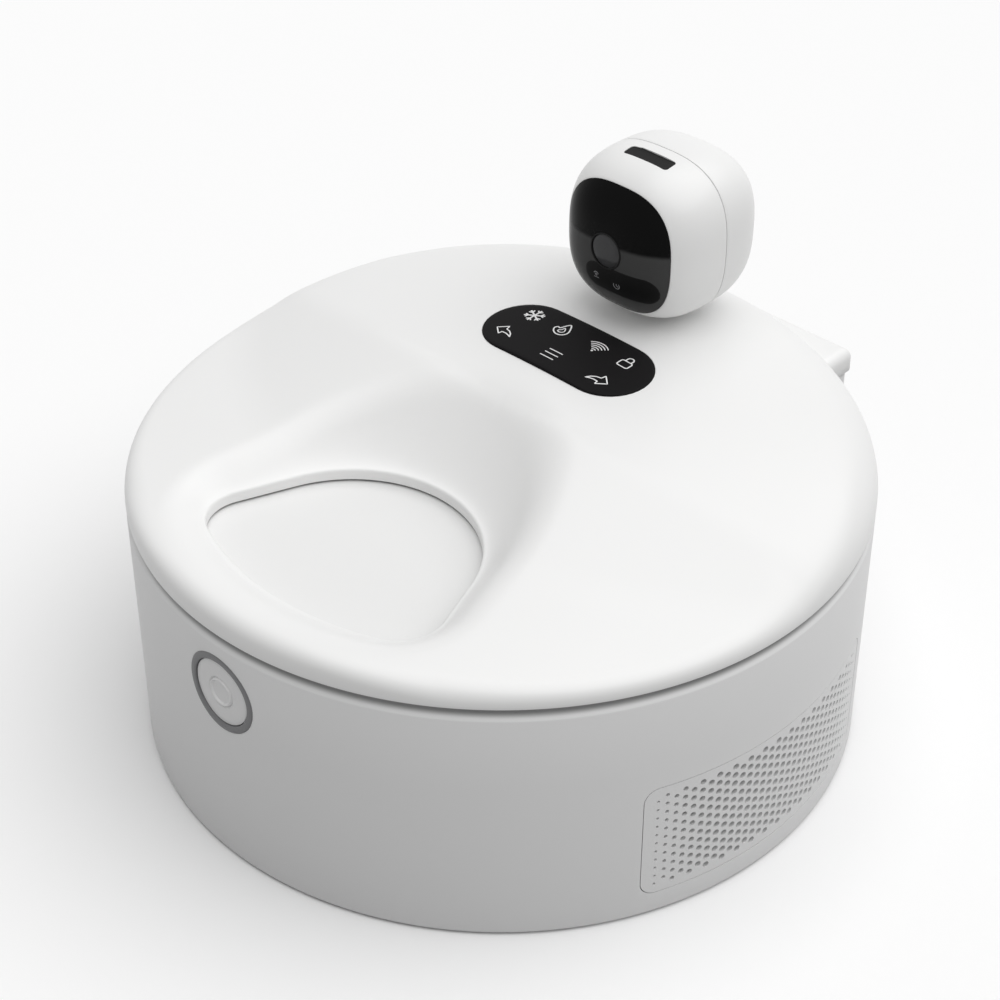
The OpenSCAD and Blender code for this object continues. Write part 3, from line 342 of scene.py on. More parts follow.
def line(name, path, width, lift, top, depth, closed=False):
    """Raised line of constant width along a path on a surface."""
    path = np.asarray(path, float)
    if closed:
        ahead = np.roll(path, -1, 0) - np.roll(path, 1, 0)
    else:
        ahead = np.gradient(path, axis=0)
    ahead /= np.linalg.norm(ahead, axis=1)[:, None]
    side = np.stack((-ahead[:, 1], ahead[:, 0]), -1) * width / 2.0
    section = ((top, 1), (top, -1), (-depth, -1), (-depth, 1))
    rows = [lift(*(path + sign * side).T, height) for height, sign in section]
    return skin(name, np.stack(rows, 1), loop=closed, caps=() if closed else ENDS)


def arc_path(cx, cy, radius, start, stop, steps=24):
    return np.array(fillet(cx, cy, radius, start, stop, steps))


def straight(x0, y0, x1, y1, steps=6):
    return np.stack((np.linspace(x0, x1, steps + 1), np.linspace(y0, y1, steps + 1)), -1)


def edges(points, steps=5):
    """Closed outline with each straight edge split into steps."""
    points = np.asarray(points, float)
    share = np.linspace(0.0, 1.0, steps, endpoint=False)[:, None]
    pairs = zip(points, np.roll(points, -1, 0))
    return np.concatenate([here + (there - here) * share for here, there in pairs])


def bend_through(points, steps=6):
    """Closed smooth outline through the given points."""
    p = np.asarray(points, float)
    before, after, beyond = np.roll(p, 1, 0), np.roll(p, -1, 0), np.roll(p, -2, 0)
    first = after - before
    second = 2.0 * before - 5.0 * p + 4.0 * after - beyond
    third = 3.0 * p - before - 3.0 * after + beyond
    share = np.linspace(0.0, 1.0, steps, endpoint=False)
    rows = [0.5 * (2.0 * p + first * t + second * t ** 2 + third * t ** 3) for t in share]
    return np.stack(rows, 1).reshape(-1, 2)


def symbols():
    """The panel's printed symbols as (path, closed, stroke factor), in millimetres on the lid."""
    marks = []
    flake = np.array((-29.6, 51.6))
    for turn in np.radians((30.0, 90.0, 150.0)):
        ray = np.array((math.cos(turn), math.sin(turn)))
        marks.append((straight(*(flake - 4.8 * ray), *(flake + 4.8 * ray), 10), False, 1.6))
        for end in (-1, 1):
            root = flake + end * 2.8 * ray
            for side in (-0.8, 0.8):
                barb = root + end * 1.9 * np.array((math.cos(turn + side), math.sin(turn + side)))
                marks.append((straight(*root, *barb, 3), False, 1.4))
    flame = ((-11.3, 55.6), (-9.2, 52.6), (-8.2, 49.7), (-9.2, 47.2), (-11.8, 46.3), (-14.3, 47.4),
             (-15.8, 49.6), (-15.2, 51.2), (-13.8, 51.1), (-13.0, 53.1), (-12.4, 54.7))
    core = ((-11.8, 52.2), (-10.3, 50.1), (-10.9, 48.5), (-12.7, 48.4), (-13.1, 49.5), (-12.2, 50.4))
    marks += [(bend_through(flame), True, 1.3), (bend_through(core), True, 1.0)]
    waves = (1.6, 3.0, 4.4, 5.8, 7.2)
    marks += [(arc_path(8.6, 46.7, r, 46.0, 134.0, 16), False, 1.0) for r in waves]
    marks.append((arc_path(8.6, 46.9, 0.3, 0.0, 330.0, 11), True, 1.1))
    corners = ((27.3, 47.9, -90), (27.3, 50.3, 0), (23.5, 50.3, 90), (23.5, 47.9, 180))
    lock = [arc_path(x, y, 1.0, a, a + 90, 5) for x, y, a in corners]
    shackle = (straight(24.0, 51.2, 24.0, 52.8, 3)[:-1], arc_path(25.55, 52.8, 1.55, 180, 0, 16),
               straight(27.1, 52.8, 27.1, 51.2, 3)[1:])
    marks += [(np.concatenate(lock), True, 1.1), (np.concatenate(shackle), False, 1.1)]
    lines = ((-5.7, 35.9), (-5.9, 33.1), (-6.1, 30.2))
    marks += [(straight(x, y, x + 7.5, y), False, 1.0) for x, y in lines]
    arrow = np.array(((0.0, 0.0), (4.1, 3.7), (4.6, 1.3), (6.8, 0.7), (8.7, -0.7), (10.1, -2.8),
                      (8.2, -1.9), (6.5, -1.5), (4.4, -1.5), (4.1, -3.5)))
    marks.append((edges(arrow + (-35.5, 34.1)), True, 1.1))
    marks.append((edges(arrow * (-1.0, 1.0) + (30.0, 33.1)), True, 1.1))
    return marks


# The lid's surface

def smooth_max(a, b, k):
    share = np.clip(0.5 + 0.5 * (a - b) / k, 0.0, 1.0)
    return b + (a - b) * share + k * share * (1.0 - share)


def sag(run, radius):
    """Fall of an arc at a distance from its crown."""
    return radius - np.sqrt(radius ** 2 - run ** 2)


def dome_top(x, y):
    crown_y, crown_z, radius = DOME
    return crown_z - sag(x, SIDE_R) - sag(y - crown_y, radius)


def opening_distance(x, y):
    """Signed distance from the feeding opening's outline, positive outside."""
    rear_r, rear_y = OPENING_REAR
    corner_r, corner_x = OPENING_CORNER
    corner_y = -math.sqrt((OPENING_FRONT_R - corner_r) ** 2 - corner_x ** 2)
    drop = corner_y - rear_y
    side = math.atan2(drop, corner_x) + math.acos((rear_r - corner_r) / math.hypot(corner_x, drop))
    out, along = (math.cos(side), math.sin(side)), (math.sin(side), -math.cos(side))
    x = np.abs(x)
    run = x * along[0] + (y - rear_y) * along[1]
    length = corner_x * along[0] + drop * along[1]
    rear = np.hypot(x, y - rear_y) - rear_r
    flank = x * out[0] + (y - rear_y) * out[1] - rear_r
    corner = np.hypot(x - corner_x, y - corner_y) - corner_r
    near = np.where(run < 0.0, rear, np.where(run < length, flank, corner))
    ahead = (y < rear_y) & (np.arctan2(y, x) < math.atan2(corner_y, corner_x))
    return np.where(ahead, np.hypot(x, y) - OPENING_FRONT_R, near)


def lid_field(sizes):
    """Function that is negative inside the lid's outer surface, in millimetres."""
    crease_k, bowl_k = sizes.crease_soft / MM, sizes.bowl_soft / MM
    rim_k, side_k, rear_k, ramp_k = sizes.rim_soft / MM, sizes.side_soft / MM, 3.0, 2.0
    crown_y, crown_z, radius = DOME
    edge_w, edge_h, edge_z = EDGE
    bowl_start, side_steep = 6.0, 3.2
    straight_wall = 1.5
    soft_along = ((-150.0, -75.0, -15.0, 60.0), (rim_k, side_k, side_k, rear_k))

    def slope(p, y0, z0, angle, across_r):
        level = (p[..., 2] - z0) * math.cos(angle) - (p[..., 1] - y0) * math.sin(angle)
        return level + sag(p[..., 0], across_r)

    def top_field(p):
        x, y, z = p[..., 0], p[..., 1], p[..., 2]
        dome = np.hypot(y - crown_y, z - crown_z + radius + sag(x, SIDE_R)) - radius
        ramp = slope(p, CREASE_Y, dome_top(0.0, CREASE_Y), RAMP_SLOPE, RAMP_R)
        deck = slope(p, -BODY_R, DECK_Z, DECK_SLOPE, radius)
        front = -smooth_max(-ramp, -deck, ramp_k)
        return smooth_max(dome, front, crease_k)

    def field(p):
        x, y, z = p[..., 0], p[..., 1], p[..., 2]
        top = top_field(p)
        reach = np.hypot(x, y)
        u = np.maximum(reach - BODY_R + edge_w, 0.0) / edge_w
        v = np.maximum(z - edge_z, 0.0) / edge_h
        ellipse = np.maximum(np.hypot(u, v), 1e-6)
        edge = (ellipse - 1.0) * ellipse / np.maximum(np.hypot(u / edge_w, v / edge_h), 1e-8)
        out = BODY_R / np.maximum(reach, 1.0)
        wall = np.stack((x * out, y * out, np.full_like(z, LID_LOW + straight_wall)), -1)
        soft = np.minimum(np.interp(y, *soft_along), np.maximum(-top_field(wall), 1.0))
        body = smooth_max(top, edge, soft)
        steep = 1.0 + (side_steep - 1.0) * np.minimum(np.abs(x) / BODY_R, 1.0) ** 2
        away = np.maximum(opening_distance(x, y), 0.0) * steep
        bowl = (z - BOWL_Z - np.hypot(away, bowl_start) + bowl_start) / np.hypot(1.0, steep)
        return smooth_max(body, bowl, bowl_k)

    return field


def bisect(inside, low, high):
    for _ in range(34):
        mid = 0.5 * (low + high)
        held = inside(mid)
        low, high = np.where(held, mid, low), np.where(held, high, mid)
    return 0.5 * (low + high)


class OpeningFan:
    """Rays in plan from inside the feeding opening to points spaced evenly round the body."""

    start = np.array((0.0, -90.0))

    def __init__(self, columns, outer_r):
        turn = ring_angles(columns) + math.pi / columns
        self.spoke = np.stack((np.cos(turn), np.sin(turn)), -1)
        reach = outer_r * self.spoke - self.start
        self.far = np.linalg.norm(reach, axis=1)
        self.ray = reach / self.far[:, None]

    def plan(self, distance):
        return self.start + distance[:, None] * self.ray

    def off_opening(self, d):
        """How far along each ray the distance from the opening's outline is d."""
        return bisect(lambda t: opening_distance(*self.plan(t).T) < d, np.zeros_like(self.far), self.far)

    def level(self, d, z):
        return raised(self.plan(self.off_opening(d)), z)


def lid_rows(sizes):
    """Closed rows of the lid's shell: lip, top from the opening to the rim, rim, inside, lip again."""
    columns, plan_rows, fan_rows, inner_rows = 384, 64, 28, 16
    pivot_r, longest = 142.0, 70.0
    edge_round, lip_round = 1.2, 0.4
    field = lid_field(sizes)
    fan = OpeningFan(columns, pivot_r)
    near, far = np.zeros(columns), np.full(columns, longest)

    def on_surface(base, aim):
        hit = bisect(lambda t: field(base + t[:, None] * aim) < 0.0, near, far)
        return base + hit[:, None] * aim

    first = fan.off_opening(edge_round)
    upward = np.tile((0.0, 0.0, 1.0), (columns, 1))
    surface = []
    for share in np.linspace(0.0, 1.0, plan_rows) ** 1.5:
        flat = fan.plan(first + (fan.far - first) * share)
        surface.append(on_surface(raised(flat, LID_LOW - 1.0), upward))
    pivot = raised(pivot_r * fan.spoke, LID_LOW)
    for angle in np.radians(np.linspace(90.0, 1.4, fan_rows + 1))[1:]:
        surface.append(on_surface(pivot, raised(fan.spoke * math.cos(angle), math.sin(angle))))
    surface = np.array(surface)
    slope = np.stack([field(surface + step) - field(surface - step) for step in 0.05 * np.eye(3)], -1)
    normal = slope / np.linalg.norm(slope, axis=-1, keepdims=True)
    inside = (surface - LID_T * normal)[::-1][::4][:inner_rows]
    crest = surface[0][:, 2].mean() - edge_round
    lip = [(0.0, LIP_LOW + lip_round), (0.0, crest - 1.0)]
    lip += [(edge_round * (1.0 - math.cos(a)), crest + edge_round * math.sin(a))
            for a in np.radians((0.0, 30.0, 60.0))]
    rim = [(BODY_R - 0.12, LID_LOW + 0.12), (BODY_R - 0.4, LID_LOW), (BODY_R - LID_T, LID_LOW)]
    under = [(LID_T, crest - 1.0), (LID_T, LIP_LOW + lip_round), (LID_T - lip_round, LIP_LOW),
             (lip_round, LIP_LOW)]
    rows = [fan.level(d, z) for d, z in lip] + list(surface)
    rows += [raised(radius * fan.spoke, z) for radius, z in rim] + list(inside)
    return rows + [fan.level(d, z) for d, z in under]


def hump_rows(half_w, rear_y, corner_r, levels, wall_radius):
    """Plan outlines of a hinge hump at (height, inset) levels, their front along the round wall."""
    rows = []
    for z, inset in levels:
        half, rear = half_w - inset, rear_y - inset
        radius = max(corner_r - inset, 0.4)
        across = np.linspace(half, -half, 41)
        front = np.stack((across, np.sqrt(wall_radius(z) ** 2 - across ** 2)), -1)
        left = fillet(radius - half, rear - radius, radius, 180, 90, 8)
        right = fillet(half - radius, rear - radius, radius, 90, 0, 8)
        middle = straight(radius - half, rear, half - radius, rear, 12)[1:-1]
        rows.append(raised(np.concatenate((front, left, middle, right)), z))
    return rows


# The camera's head

def head_reach(c, s):
    """Distance to the head's outline in a direction, for half sizes of one."""
    return (np.abs(c) ** HEAD_POWER + np.abs(s) ** HEAD_POWER) ** (-1.0 / HEAD_POWER)


def head_rest(*shares):
    """Share of a half size that is left at shares of the others."""
    rest = 1.0 - sum(np.abs(share) ** HEAD_POWER for share in shares)
    return np.maximum(rest, 0.0) ** (1.0 / HEAD_POWER)


def head_ring(dy, inset=0.0, count=160):
    half = HEAD_HALF - inset
    turn = ring_angles(count)
    c, s = np.cos(turn), np.sin(turn)
    reach = head_rest(dy / half[1]) * head_reach(c, s)
    return np.stack((half[0] * reach * c, np.full(count, dy), half[2] * reach * s), -1) + HEAD


def head_rings(dy0, dy1, inset, count):
    """Rings spaced evenly along the head's curve from one depth to another."""
    half = HEAD_HALF[1] - inset

    def angle_of(dy):
        share = min(max(dy / half, -1.0), 1.0)
        return math.atan2(share, head_rest(share))

    rings = []
    for angle in np.linspace(angle_of(dy0), angle_of(dy1), count):
        c, s = math.cos(angle), math.sin(angle)
        rings.append(head_ring(half * head_reach(c, s) * s, inset))
    return rings


def head_front(x, z, height):
    """Point of the head's front face over a place on it, raised by height."""
    depth = HEAD_HALF[1] * head_rest(x / HEAD_HALF[0], z / HEAD_HALF[2])
    return np.stack((x, -depth - height, z), -1) + HEAD


def head_top(x, y, height):
    rise = HEAD_HALF[2] * head_rest(x / HEAD_HALF[0], y / HEAD_HALF[1])
    return np.stack((x, y, rise + height), -1) + HEAD


# Node trees

def arithmetic(operation, swapped=False):
    """Operator of Wire that adds a maths node."""
    def operate(self, other):
        first, second = (other, self) if swapped else (self, other)
        web = Web(self.socket.id_data)
        return web.add("ShaderNodeMath", "Value", {"operation": operation}, Value=first, Value_001=second)

    return operate


class Wire:
    """A node socket that can stand in Python sums."""

    def __init__(self, socket):
        self.socket = socket

    __add__ = __radd__ = arithmetic("ADD")
    __sub__ = arithmetic("SUBTRACT")
    __rsub__ = arithmetic("SUBTRACT", swapped=True)
    __mul__ = __rmul__ = arithmetic("MULTIPLY")
    __truediv__ = arithmetic("DIVIDE")
    __pow__ = arithmetic("POWER")
    __gt__ = arithmetic("GREATER_THAN")
    __mod__ = arithmetic("FLOORED_MODULO")


class Web:
    """A node tree that gets its nodes through one method."""

    def __init__(self, tree):
        self.tree = tree

    def add(self, kind, take, settings=None, **inputs):
        """New node with its settings, then its inputs by identifier or name; gives one output or itself."""
        node = self.tree.nodes.new(kind)
        for key, value in (settings or {}).items():
            setattr(node, key, value)
        for key, value in inputs.items():
            self.feed(self.find(node.inputs, key), value)
        return Wire(self.find(node.outputs, take)) if take is not None else node

    def feed(self, socket, value):
        for part in value if isinstance(value, list) else [value]:
            if isinstance(part, Wire):
                self.tree.links.new(part.socket, socket)
            else:
                socket.default_value = part

    def find(self, sockets, key):
        name = key.replace("_", " ")
        for socket in sockets:
            if socket.identifier == key or (socket.name == name and socket.enabled):
                return socket
        raise KeyError(f"no socket {key} on {sockets[0].node.bl_idname}")

    def split(self, vector):
        node = self.add("ShaderNodeSeparateXYZ", None, Vector=vector)
        return [Wire(socket) for socket in node.outputs]

    def soft_step(self, value, low, high):
        """Zero below low, one above high and smooth between them."""
        return self.add("ShaderNodeMapRange", "Result", {"interpolation_type": "SMOOTHSTEP"},
                        Value=value, From_Min=low, From_Max=high)


def shader(name):
    """New material with its web, its main shader node and its object coordinates."""
    material = bpy.data.materials.new(name)
    material.use_nodes = True
    web = Web(material.node_tree)
    main = material.node_tree.nodes["Principled BSDF"]
    return material, web, main, web.add("ShaderNodeTexCoord", "Object")


def noise(web, place, scale, detail=2.0):
    return web.add("ShaderNodeTexNoise", "Fac", Vector=place, Scale=scale, Detail=detail)


def blend(web, share, first, second):
    """Mix of two colours, each a wire or three numbers."""
    pair = [tone if isinstance(tone, Wire) else (*tone, 1.0) for tone in (first, second)]
    return web.add("ShaderNodeMix", "Result_Color", {"data_type": "RGBA"},
                   Factor_Float=share, A_Color=pair[0], B_Color=pair[1])


def tint(colour, share):
    return tuple(min(c * share, 1.0) for c in colour)


def grey(value):
    return (value, value, value)


def dress(web, main, colour, rough, level=0.5, height=None, strength=0.0, depth=0.0002):
    """Feeds the main shader's colour and gloss, and its fine relief where a height is given."""
    web.feed(main.inputs["Base Color"], colour)
    web.feed(main.inputs["Roughness"], rough)
    main.inputs["Specular IOR Level"].default_value = level
    if height is not None:
        web.feed(main.inputs["Normal"], web.add("ShaderNodeBump", "Normal", Strength=strength,
                                                Distance=depth, Height=height))


def moulded(name, colour, rough, grain, relief, spread=0.06, level=0.5):
    """Moulded plastic or rubber: faint clouds of tone, a fine grain and an uneven gloss."""
    material, web, main, place = shader(name)
    clouds = noise(web, place, 14.0, 3.0)
    speck = noise(web, place, grain)
    tone = blend(web, clouds, tint(colour, 1.0 - spread / 2.0), tint(colour, 1.0 + spread / 2.0))
    gloss = rough + 0.10 * (speck - 0.5) + 0.06 * (clouds - 0.5)
    dress(web, main, tone, gloss, level, speck, relief)
    return material


def base_painted_shade_finish(name, colour):
    """The base's plastic with painted shade: darker on the inner side of the bevel under the lid, where the
    lid's overhang would shade the groove.
    """
    painted_shade_r, plain_r, inner_r = BODY_R - 2.42, BODY_R - 0.7, BODY_R - 2.7
    low, high = RIM_Z - 5.0, RIM_Z - 0.12
    material = moulded(name, colour, 0.46, 1300.0, 0.035, 0.025)
    web = Web(material.node_tree)
    socket = material.node_tree.nodes["Principled BSDF"].inputs["Base Color"]
    plain = Wire(socket.links[0].from_socket)
    x, y, z = web.split(web.add("ShaderNodeTexCoord", "Object"))
    reach = (x * x + y * y) ** 0.5
    # Painted shade: the groove's inner side is darkened in the colour, in place of the shadow under the
    # lid's edge.
    bevel = (z > low * MM) * (1.0 - (z > high * MM)) * (reach > inner_r * MM)
    dark = bevel * (1.0 - web.soft_step(reach, painted_shade_r * MM, plain_r * MM))
    web.feed(socket, blend(web, dark, plain, tint(colour, 0.3)))
    return material


def metal(name, colour, rough, stretch):
    """Drawn or turned metal: fine lines along one axis in gloss and height."""
    material, web, main, place = shader(name)
    drawn = web.add("ShaderNodeMapping", "Vector", Vector=place, Scale=stretch)
    lines = noise(web, drawn, 900.0, 3.0)
    stain = noise(web, place, 60.0, 3.0)
    gloss = rough + 0.16 * (lines - 0.5) + 0.08 * (stain - 0.5)
    dress(web, main, blend(web, stain, tint(colour, 0.9), tint(colour, 1.05)), gloss,
          height=lines, strength=0.06)
    main.inputs["Metallic"].default_value = 1.0
    return material


def foam_finish(name, colour):
    """Closed-cell foam: small round cells pressed into the surface, with painted shade darkening their
    pits.
    """
    material, web, main, place = shader(name)
    cells = web.add("ShaderNodeTexVoronoi", "Distance", Vector=place, Scale=700.0)
    # Painted shade: the cells' pits are darker in colour.
    dress(web, main, blend(web, cells, tint(colour, 0.82), colour), 0.85 + 0.1 * (cells - 0.5),
          height=cells, strength=0.35, depth=0.0006)
    return material


def board_finish(name, colour):
    """Circuit board: lighter tracks between dark lacquer blocks."""
    material, web, main, place = shader(name)
    tracks = web.add("ShaderNodeTexBrick", "Fac", {"offset": 0.37}, Vector=place, Scale=160.0,
                     Mortar_Size=0.035, Mortar_Smooth=0.2)
    dress(web, main, blend(web, tracks, colour, tint(colour, 2.1)), 0.42 - 0.12 * tracks,
          height=tracks, strength=0.15, depth=0.0001)
    return material


def gloss_finish(name, colour, rough, level):
    """Polished black: a thin haze in the gloss and a trace of dust in the tone."""
    material, web, main, place = shader(name)
    haze = noise(web, place, 40.0, 4.0)
    dust = noise(web, place, 2600.0, 1.0)
    tone = blend(web, dust, tint(colour, 0.85), tint(colour, 1.15))
    dress(web, main, tone, rough + 0.05 * haze, level)
    return material


def window_painted_reflection_finish(name, dark, pale):
    """Black window with a painted reflection: pale low down where the white lid would mirror in it, dark
    above a soft edge, with a hazy gloss.
    """
    edge_z, slant, ragged, half_soft = HEAD[2] + 4.4, 0.03, 0.002, 0.0012
    material, web, main, place = shader(name)
    across, _, height = web.split(place)
    haze = noise(web, place, 40.0, 4.0)
    edge = edge_z * MM + slant * across + ragged * (haze - 0.5)
    share = web.soft_step(height - edge, -half_soft, half_soft)
    # The pale colour is a painted reflection of the lid; the dark one is the window's own black.
    dress(web, main, blend(web, share, pale, dark), 0.2 + 0.05 * haze, 0.05)
    return material


def make_finishes(colours):
    """Every finish by the name of its slot, and the extra ones of the scene."""
    kinds = {
        "lid_plastic": (moulded, colours.lid, 0.34, 2200.0, 0.012, 0.02),
        # The base's finish paints shade into the groove under the lid.
        "base_plastic": (base_painted_shade_finish, colours.base),
        "inner_plastic": (moulded, colours.inner, 0.4, 1500.0, 0.02, 0.03),
        "tray_plastic": (moulded, colours.tray, 0.3, 1800.0, 0.012, 0.02),
        "bezel_plastic": (moulded, colours.bezel, 0.42, 1600.0, 0.03),
        "black_plastic": (moulded, grey(0.012), 0.5, 1400.0, 0.05, 0.06, 0.1),
        "panel_gloss": (gloss_finish, colours.gloss, 0.5, 0.03),
        "gear_plastic": (moulded, (0.79, 0.77, 0.70), 0.45, 1200.0, 0.03),
        "foot_rubber": (moulded, grey(0.016), 0.78, 900.0, 0.12, 0.06, 0.3),
        "seal_rubber": (moulded, (0.52, 0.52, 0.51), 0.6, 1000.0, 0.06),
        "foam": (foam_finish, (0.48, 0.49, 0.47)),
        "steel": (metal, (0.62, 0.63, 0.64), 0.3, (1.0, 1.0, 0.04)),
        "aluminium": (metal, (0.74, 0.75, 0.76), 0.38, (0.04, 1.0, 1.0)),
        "ceramic": (moulded, (0.85, 0.84, 0.79), 0.55, 2400.0, 0.05),
        "board": (board_finish, (0.012, 0.07, 0.03)),
        "lens_glass": (gloss_finish, (0.048, 0.048, 0.05), 0.12, 0.2),
        # Painted reflection: the window's pale lower part stands for the lid mirrored in it.
        "window_gloss": (window_painted_reflection_finish, grey(0.003), grey(0.06)),
        "strip_black": (moulded, grey(0.003), 0.55, 2600.0, 0.01, 0.06, 0.12),
        "symbol_print": (moulded, colours.symbol, 0.55, 3000.0, 0.02, 0.03),
        "status_print": (moulded, (0.34, 0.34, 0.35), 0.6, 3000.0, 0.02),
    }
    return {name: make(name, tuple(colour), *rest) for name, (make, colour, *rest) in kinds.items()}


FINISHES = {}


def finish(name):
    if not FINISHES:
        FINISHES.update(make_finishes(bpy.context.scene.feeder_colours))
    return FINISHES[name]


VENT_SOCKETS = {
    "Float": ("Width", "Height", "Corner", "Column Pitch", "Row Pitch", "Middle Hole", "End Hole",
              "Thickness", "Body Radius", "Middle Height", "Facing"),
    "Int": ("Columns", "Rows"),
    "Material": ("Finish",),
}


def vent_tree():
    """Perforated insert: staggered holes that grow to the middle, in a plate bent round the body."""
    tree = bpy.data.node_groups.new("perforated_vent", "GeometryNodeTree")
    keys = {}
    for kind, names in VENT_SOCKETS.items():
        for name in names:
            socket = tree.interface.new_socket(name, in_out="INPUT", socket_type="NodeSocket" + kind)
            keys[name] = socket.identifier
    tree.interface.new_socket("Geometry", in_out="OUTPUT", socket_type="NodeSocketGeometry")
    web = Web(tree)
    given = {socket.name: Wire(socket) for socket in web.add("NodeGroupInput", None).outputs}
    columns, rows, thickness = given["Columns"], given["Rows"], given["Thickness"]
    column, row, body_r = given["Column Pitch"], given["Row Pitch"], given["Body Radius"]
    small, large = given["End Hole"], given["Middle Hole"]

    x, y, z = web.split(web.add("GeometryNodeInputPosition", "Position"))
    half_x = (columns - 1.0) * column / 2.0
    grid = web.add("GeometryNodeMeshGrid", "Mesh", Size_X=half_x * 2.0, Size_Y=(rows - 1.0) * row,
                   Vertices_X=columns, Vertices_Y=rows)
    odd = ((x + half_x) / column + 0.25) % 2.0 > 1.0
    shift = web.add("ShaderNodeCombineXYZ", "Vector", Y=(odd - 0.5) * row / 2.0)
    staggered = web.add("GeometryNodeSetPosition", "Geometry", Geometry=grid, Offset=shift)
    from_middle = web.add("ShaderNodeMath", "Value", {"operation": "ABSOLUTE"}, Value=x) / half_x
    hole = small + (large - small) * (1.0 - from_middle ** 5.0)
    scale = web.add("ShaderNodeCombineXYZ", "Vector", X=hole, Y=hole, Z=hole)
    circle = web.add("GeometryNodeCurvePrimitiveCircle", "Curve", Resolution=14, Radius=1.0)
    holes = web.add("GeometryNodeInstanceOnPoints", "Instances", Points=staggered, Instance=circle,
                    Scale=scale)
    plain_holes = web.add("GeometryNodeRealizeInstances", "Geometry", Geometry=holes)
    plate = web.add("GeometryNodeCurvePrimitiveQuadrilateral", "Curve", Width=given["Width"],
                    Height=given["Height"])
    rounded = web.add("GeometryNodeFilletCurve", "Curve", {"mode": "POLY"}, Curve=plate, Count=8,
                      Radius=given["Corner"])
    outline = web.add("GeometryNodeResampleCurve", "Curve", Curve=rounded, Count=320)
    outlines = web.add("GeometryNodeJoinGeometry", "Geometry", Geometry=[outline, plain_holes])
    back = web.add("GeometryNodeFillCurve", "Mesh", {"mode": "TRIANGLES"}, Curve=outlines)
    front = web.add("GeometryNodeExtrudeMesh", "Mesh", {"mode": "FACES"}, Mesh=back,
                    Offset_Scale=thickness, Individual=False)
    turned = web.add("GeometryNodeFlipFaces", "Mesh", Mesh=back)
    both = web.add("GeometryNodeJoinGeometry", "Geometry", Geometry=[front, turned])
    closed = web.add("GeometryNodeMergeByDistance", "Geometry", Geometry=both, Distance=1e-6)
    reach = body_r - thickness + z
    angle = given["Facing"] + x / body_r
    cosine, sine = [web.add("ShaderNodeMath", "Value", {"operation": name}, Value=angle)
                    for name in ("COSINE", "SINE")]
    bent = web.add("ShaderNodeCombineXYZ", "Vector", X=reach * cosine, Y=reach * sine,
                   Z=y + given["Middle Height"])
    wrapped = web.add("GeometryNodeSetPosition", "Geometry", Geometry=closed, Position=bent)
    plain = web.add("GeometryNodeRealizeInstances", "Geometry", Geometry=wrapped)
    dressed = web.add("GeometryNodeSetMaterial", "Geometry", Geometry=plain, Material=given["Finish"])
    web.add("NodeGroupOutput", None, Geometry=dressed)
    return tree, keys


# Operators, one for each piece or group of like pieces

class FEEDER_OT_lid(bpy.types.Operator):
    """Build the domed lid with its scoop, bowl and opening"""

    bl_idname = "feeder.lid"
    bl_label = "Lid"

    def execute(self, context):
        sharp = 40.0
        lid = skin("lid_top", lid_rows(context.scene.feeder_sizes), loop=True, sharp=sharp)
        length, width = PANEL_SIZE
        gap, low, high = 0.25, 148.0, 175.0
        panel = stadium(length + 2 * gap, width + 2 * gap, 0.0) + PANEL_AT
        carve(lid, [prism("panel_seat", panel, low, high),
                    drill("foot_seat", FOOT_DISC_R + 0.1, low, high, upright(HEAD[1]))], sharp)
        seat(lid, "lid", "lid_plastic", "lid_shell")
        return {"FINISHED"}


class FEEDER_OT_dish(bpy.types.Operator):
    """Build the shallow blank dish that shows in the opening"""

    bl_idname = "feeder.dish"
    bl_label = "Blank dish"

    def execute(self, context):
        fan = OpeningFan(192, BODY_R)
        rim = 117.15
        levels = [(2.0, DISH_FLOOR - 0.1), (2.0, rim - 0.25), (1.7, rim), (0.2, rim), (-1.0, rim - 0.12)]
        levels += [(-5.0, rim - 0.9), (-10.0, rim - 1.7), (-16.0, rim - 2.2), (-24.0, rim - 2.4)]
        levels += [(-32.0, rim - 2.45)]
        rows = []
        for d, z in levels:
            row = fan.level(d, z)
            reach = np.hypot(row[:, 0], row[:, 1])
            row[:, :2] *= np.minimum(1.0, TRAY_R / reach)[:, None]
            rows.append(row)
        dish = skin("blank_dish", rows, caps=ENDS, sharp=50.0)
        seat(dish, "tray", "tray_plastic")
        return {"FINISHED"}


class FEEDER_OT_hinge(bpy.types.Operator):
    """Build the hinge hump behind the lid"""

    bl_idname = "feeder.hinge"
    bl_label = "Hinge hump"

    def execute(self, context):
        round_r, corner_r, sharp = 5.0, 3.0, 50.0
        edge_w, edge_h, edge_z = EDGE

        def lid_wall(z):
            rise = max(z - edge_z, 0.0) / edge_h
            return BODY_R - edge_w + edge_w * math.sqrt(1.0 - rise * rise) + 0.25

        levels = [(LID_LOW, 0.4), (LID_LOW + 0.4, 0.0)]
        levels += [(HUMP_TOP - round_r + round_r * math.sin(a), round_r * (1.0 - math.cos(a)))
                   for a in np.radians(np.linspace(0.0, 90.0, 11))]
        rows = hump_rows(HUMP_HALF_W, HINGE_Y, corner_r, levels, lid_wall)
        hump = skin("hinge_hump", rows, caps=ENDS, sharp=sharp)
        carve(hump, rods("lid_knuckle", KNUCKLE_R, LID_KNUCKLES, bevel=0.4), sharp, "UNION")
        carve(hump, rods("room", KNUCKLE_R + KNUCKLE_GAP, BASE_KNUCKLES, 2 * KNUCKLE_GAP)
              + rods("bore", PIN_R + 0.06, LID_KNUCKLES, 2.0), sharp)
        seat(hump, "lid", "lid_plastic", "hinge_cover")
        return {"FINISHED"}


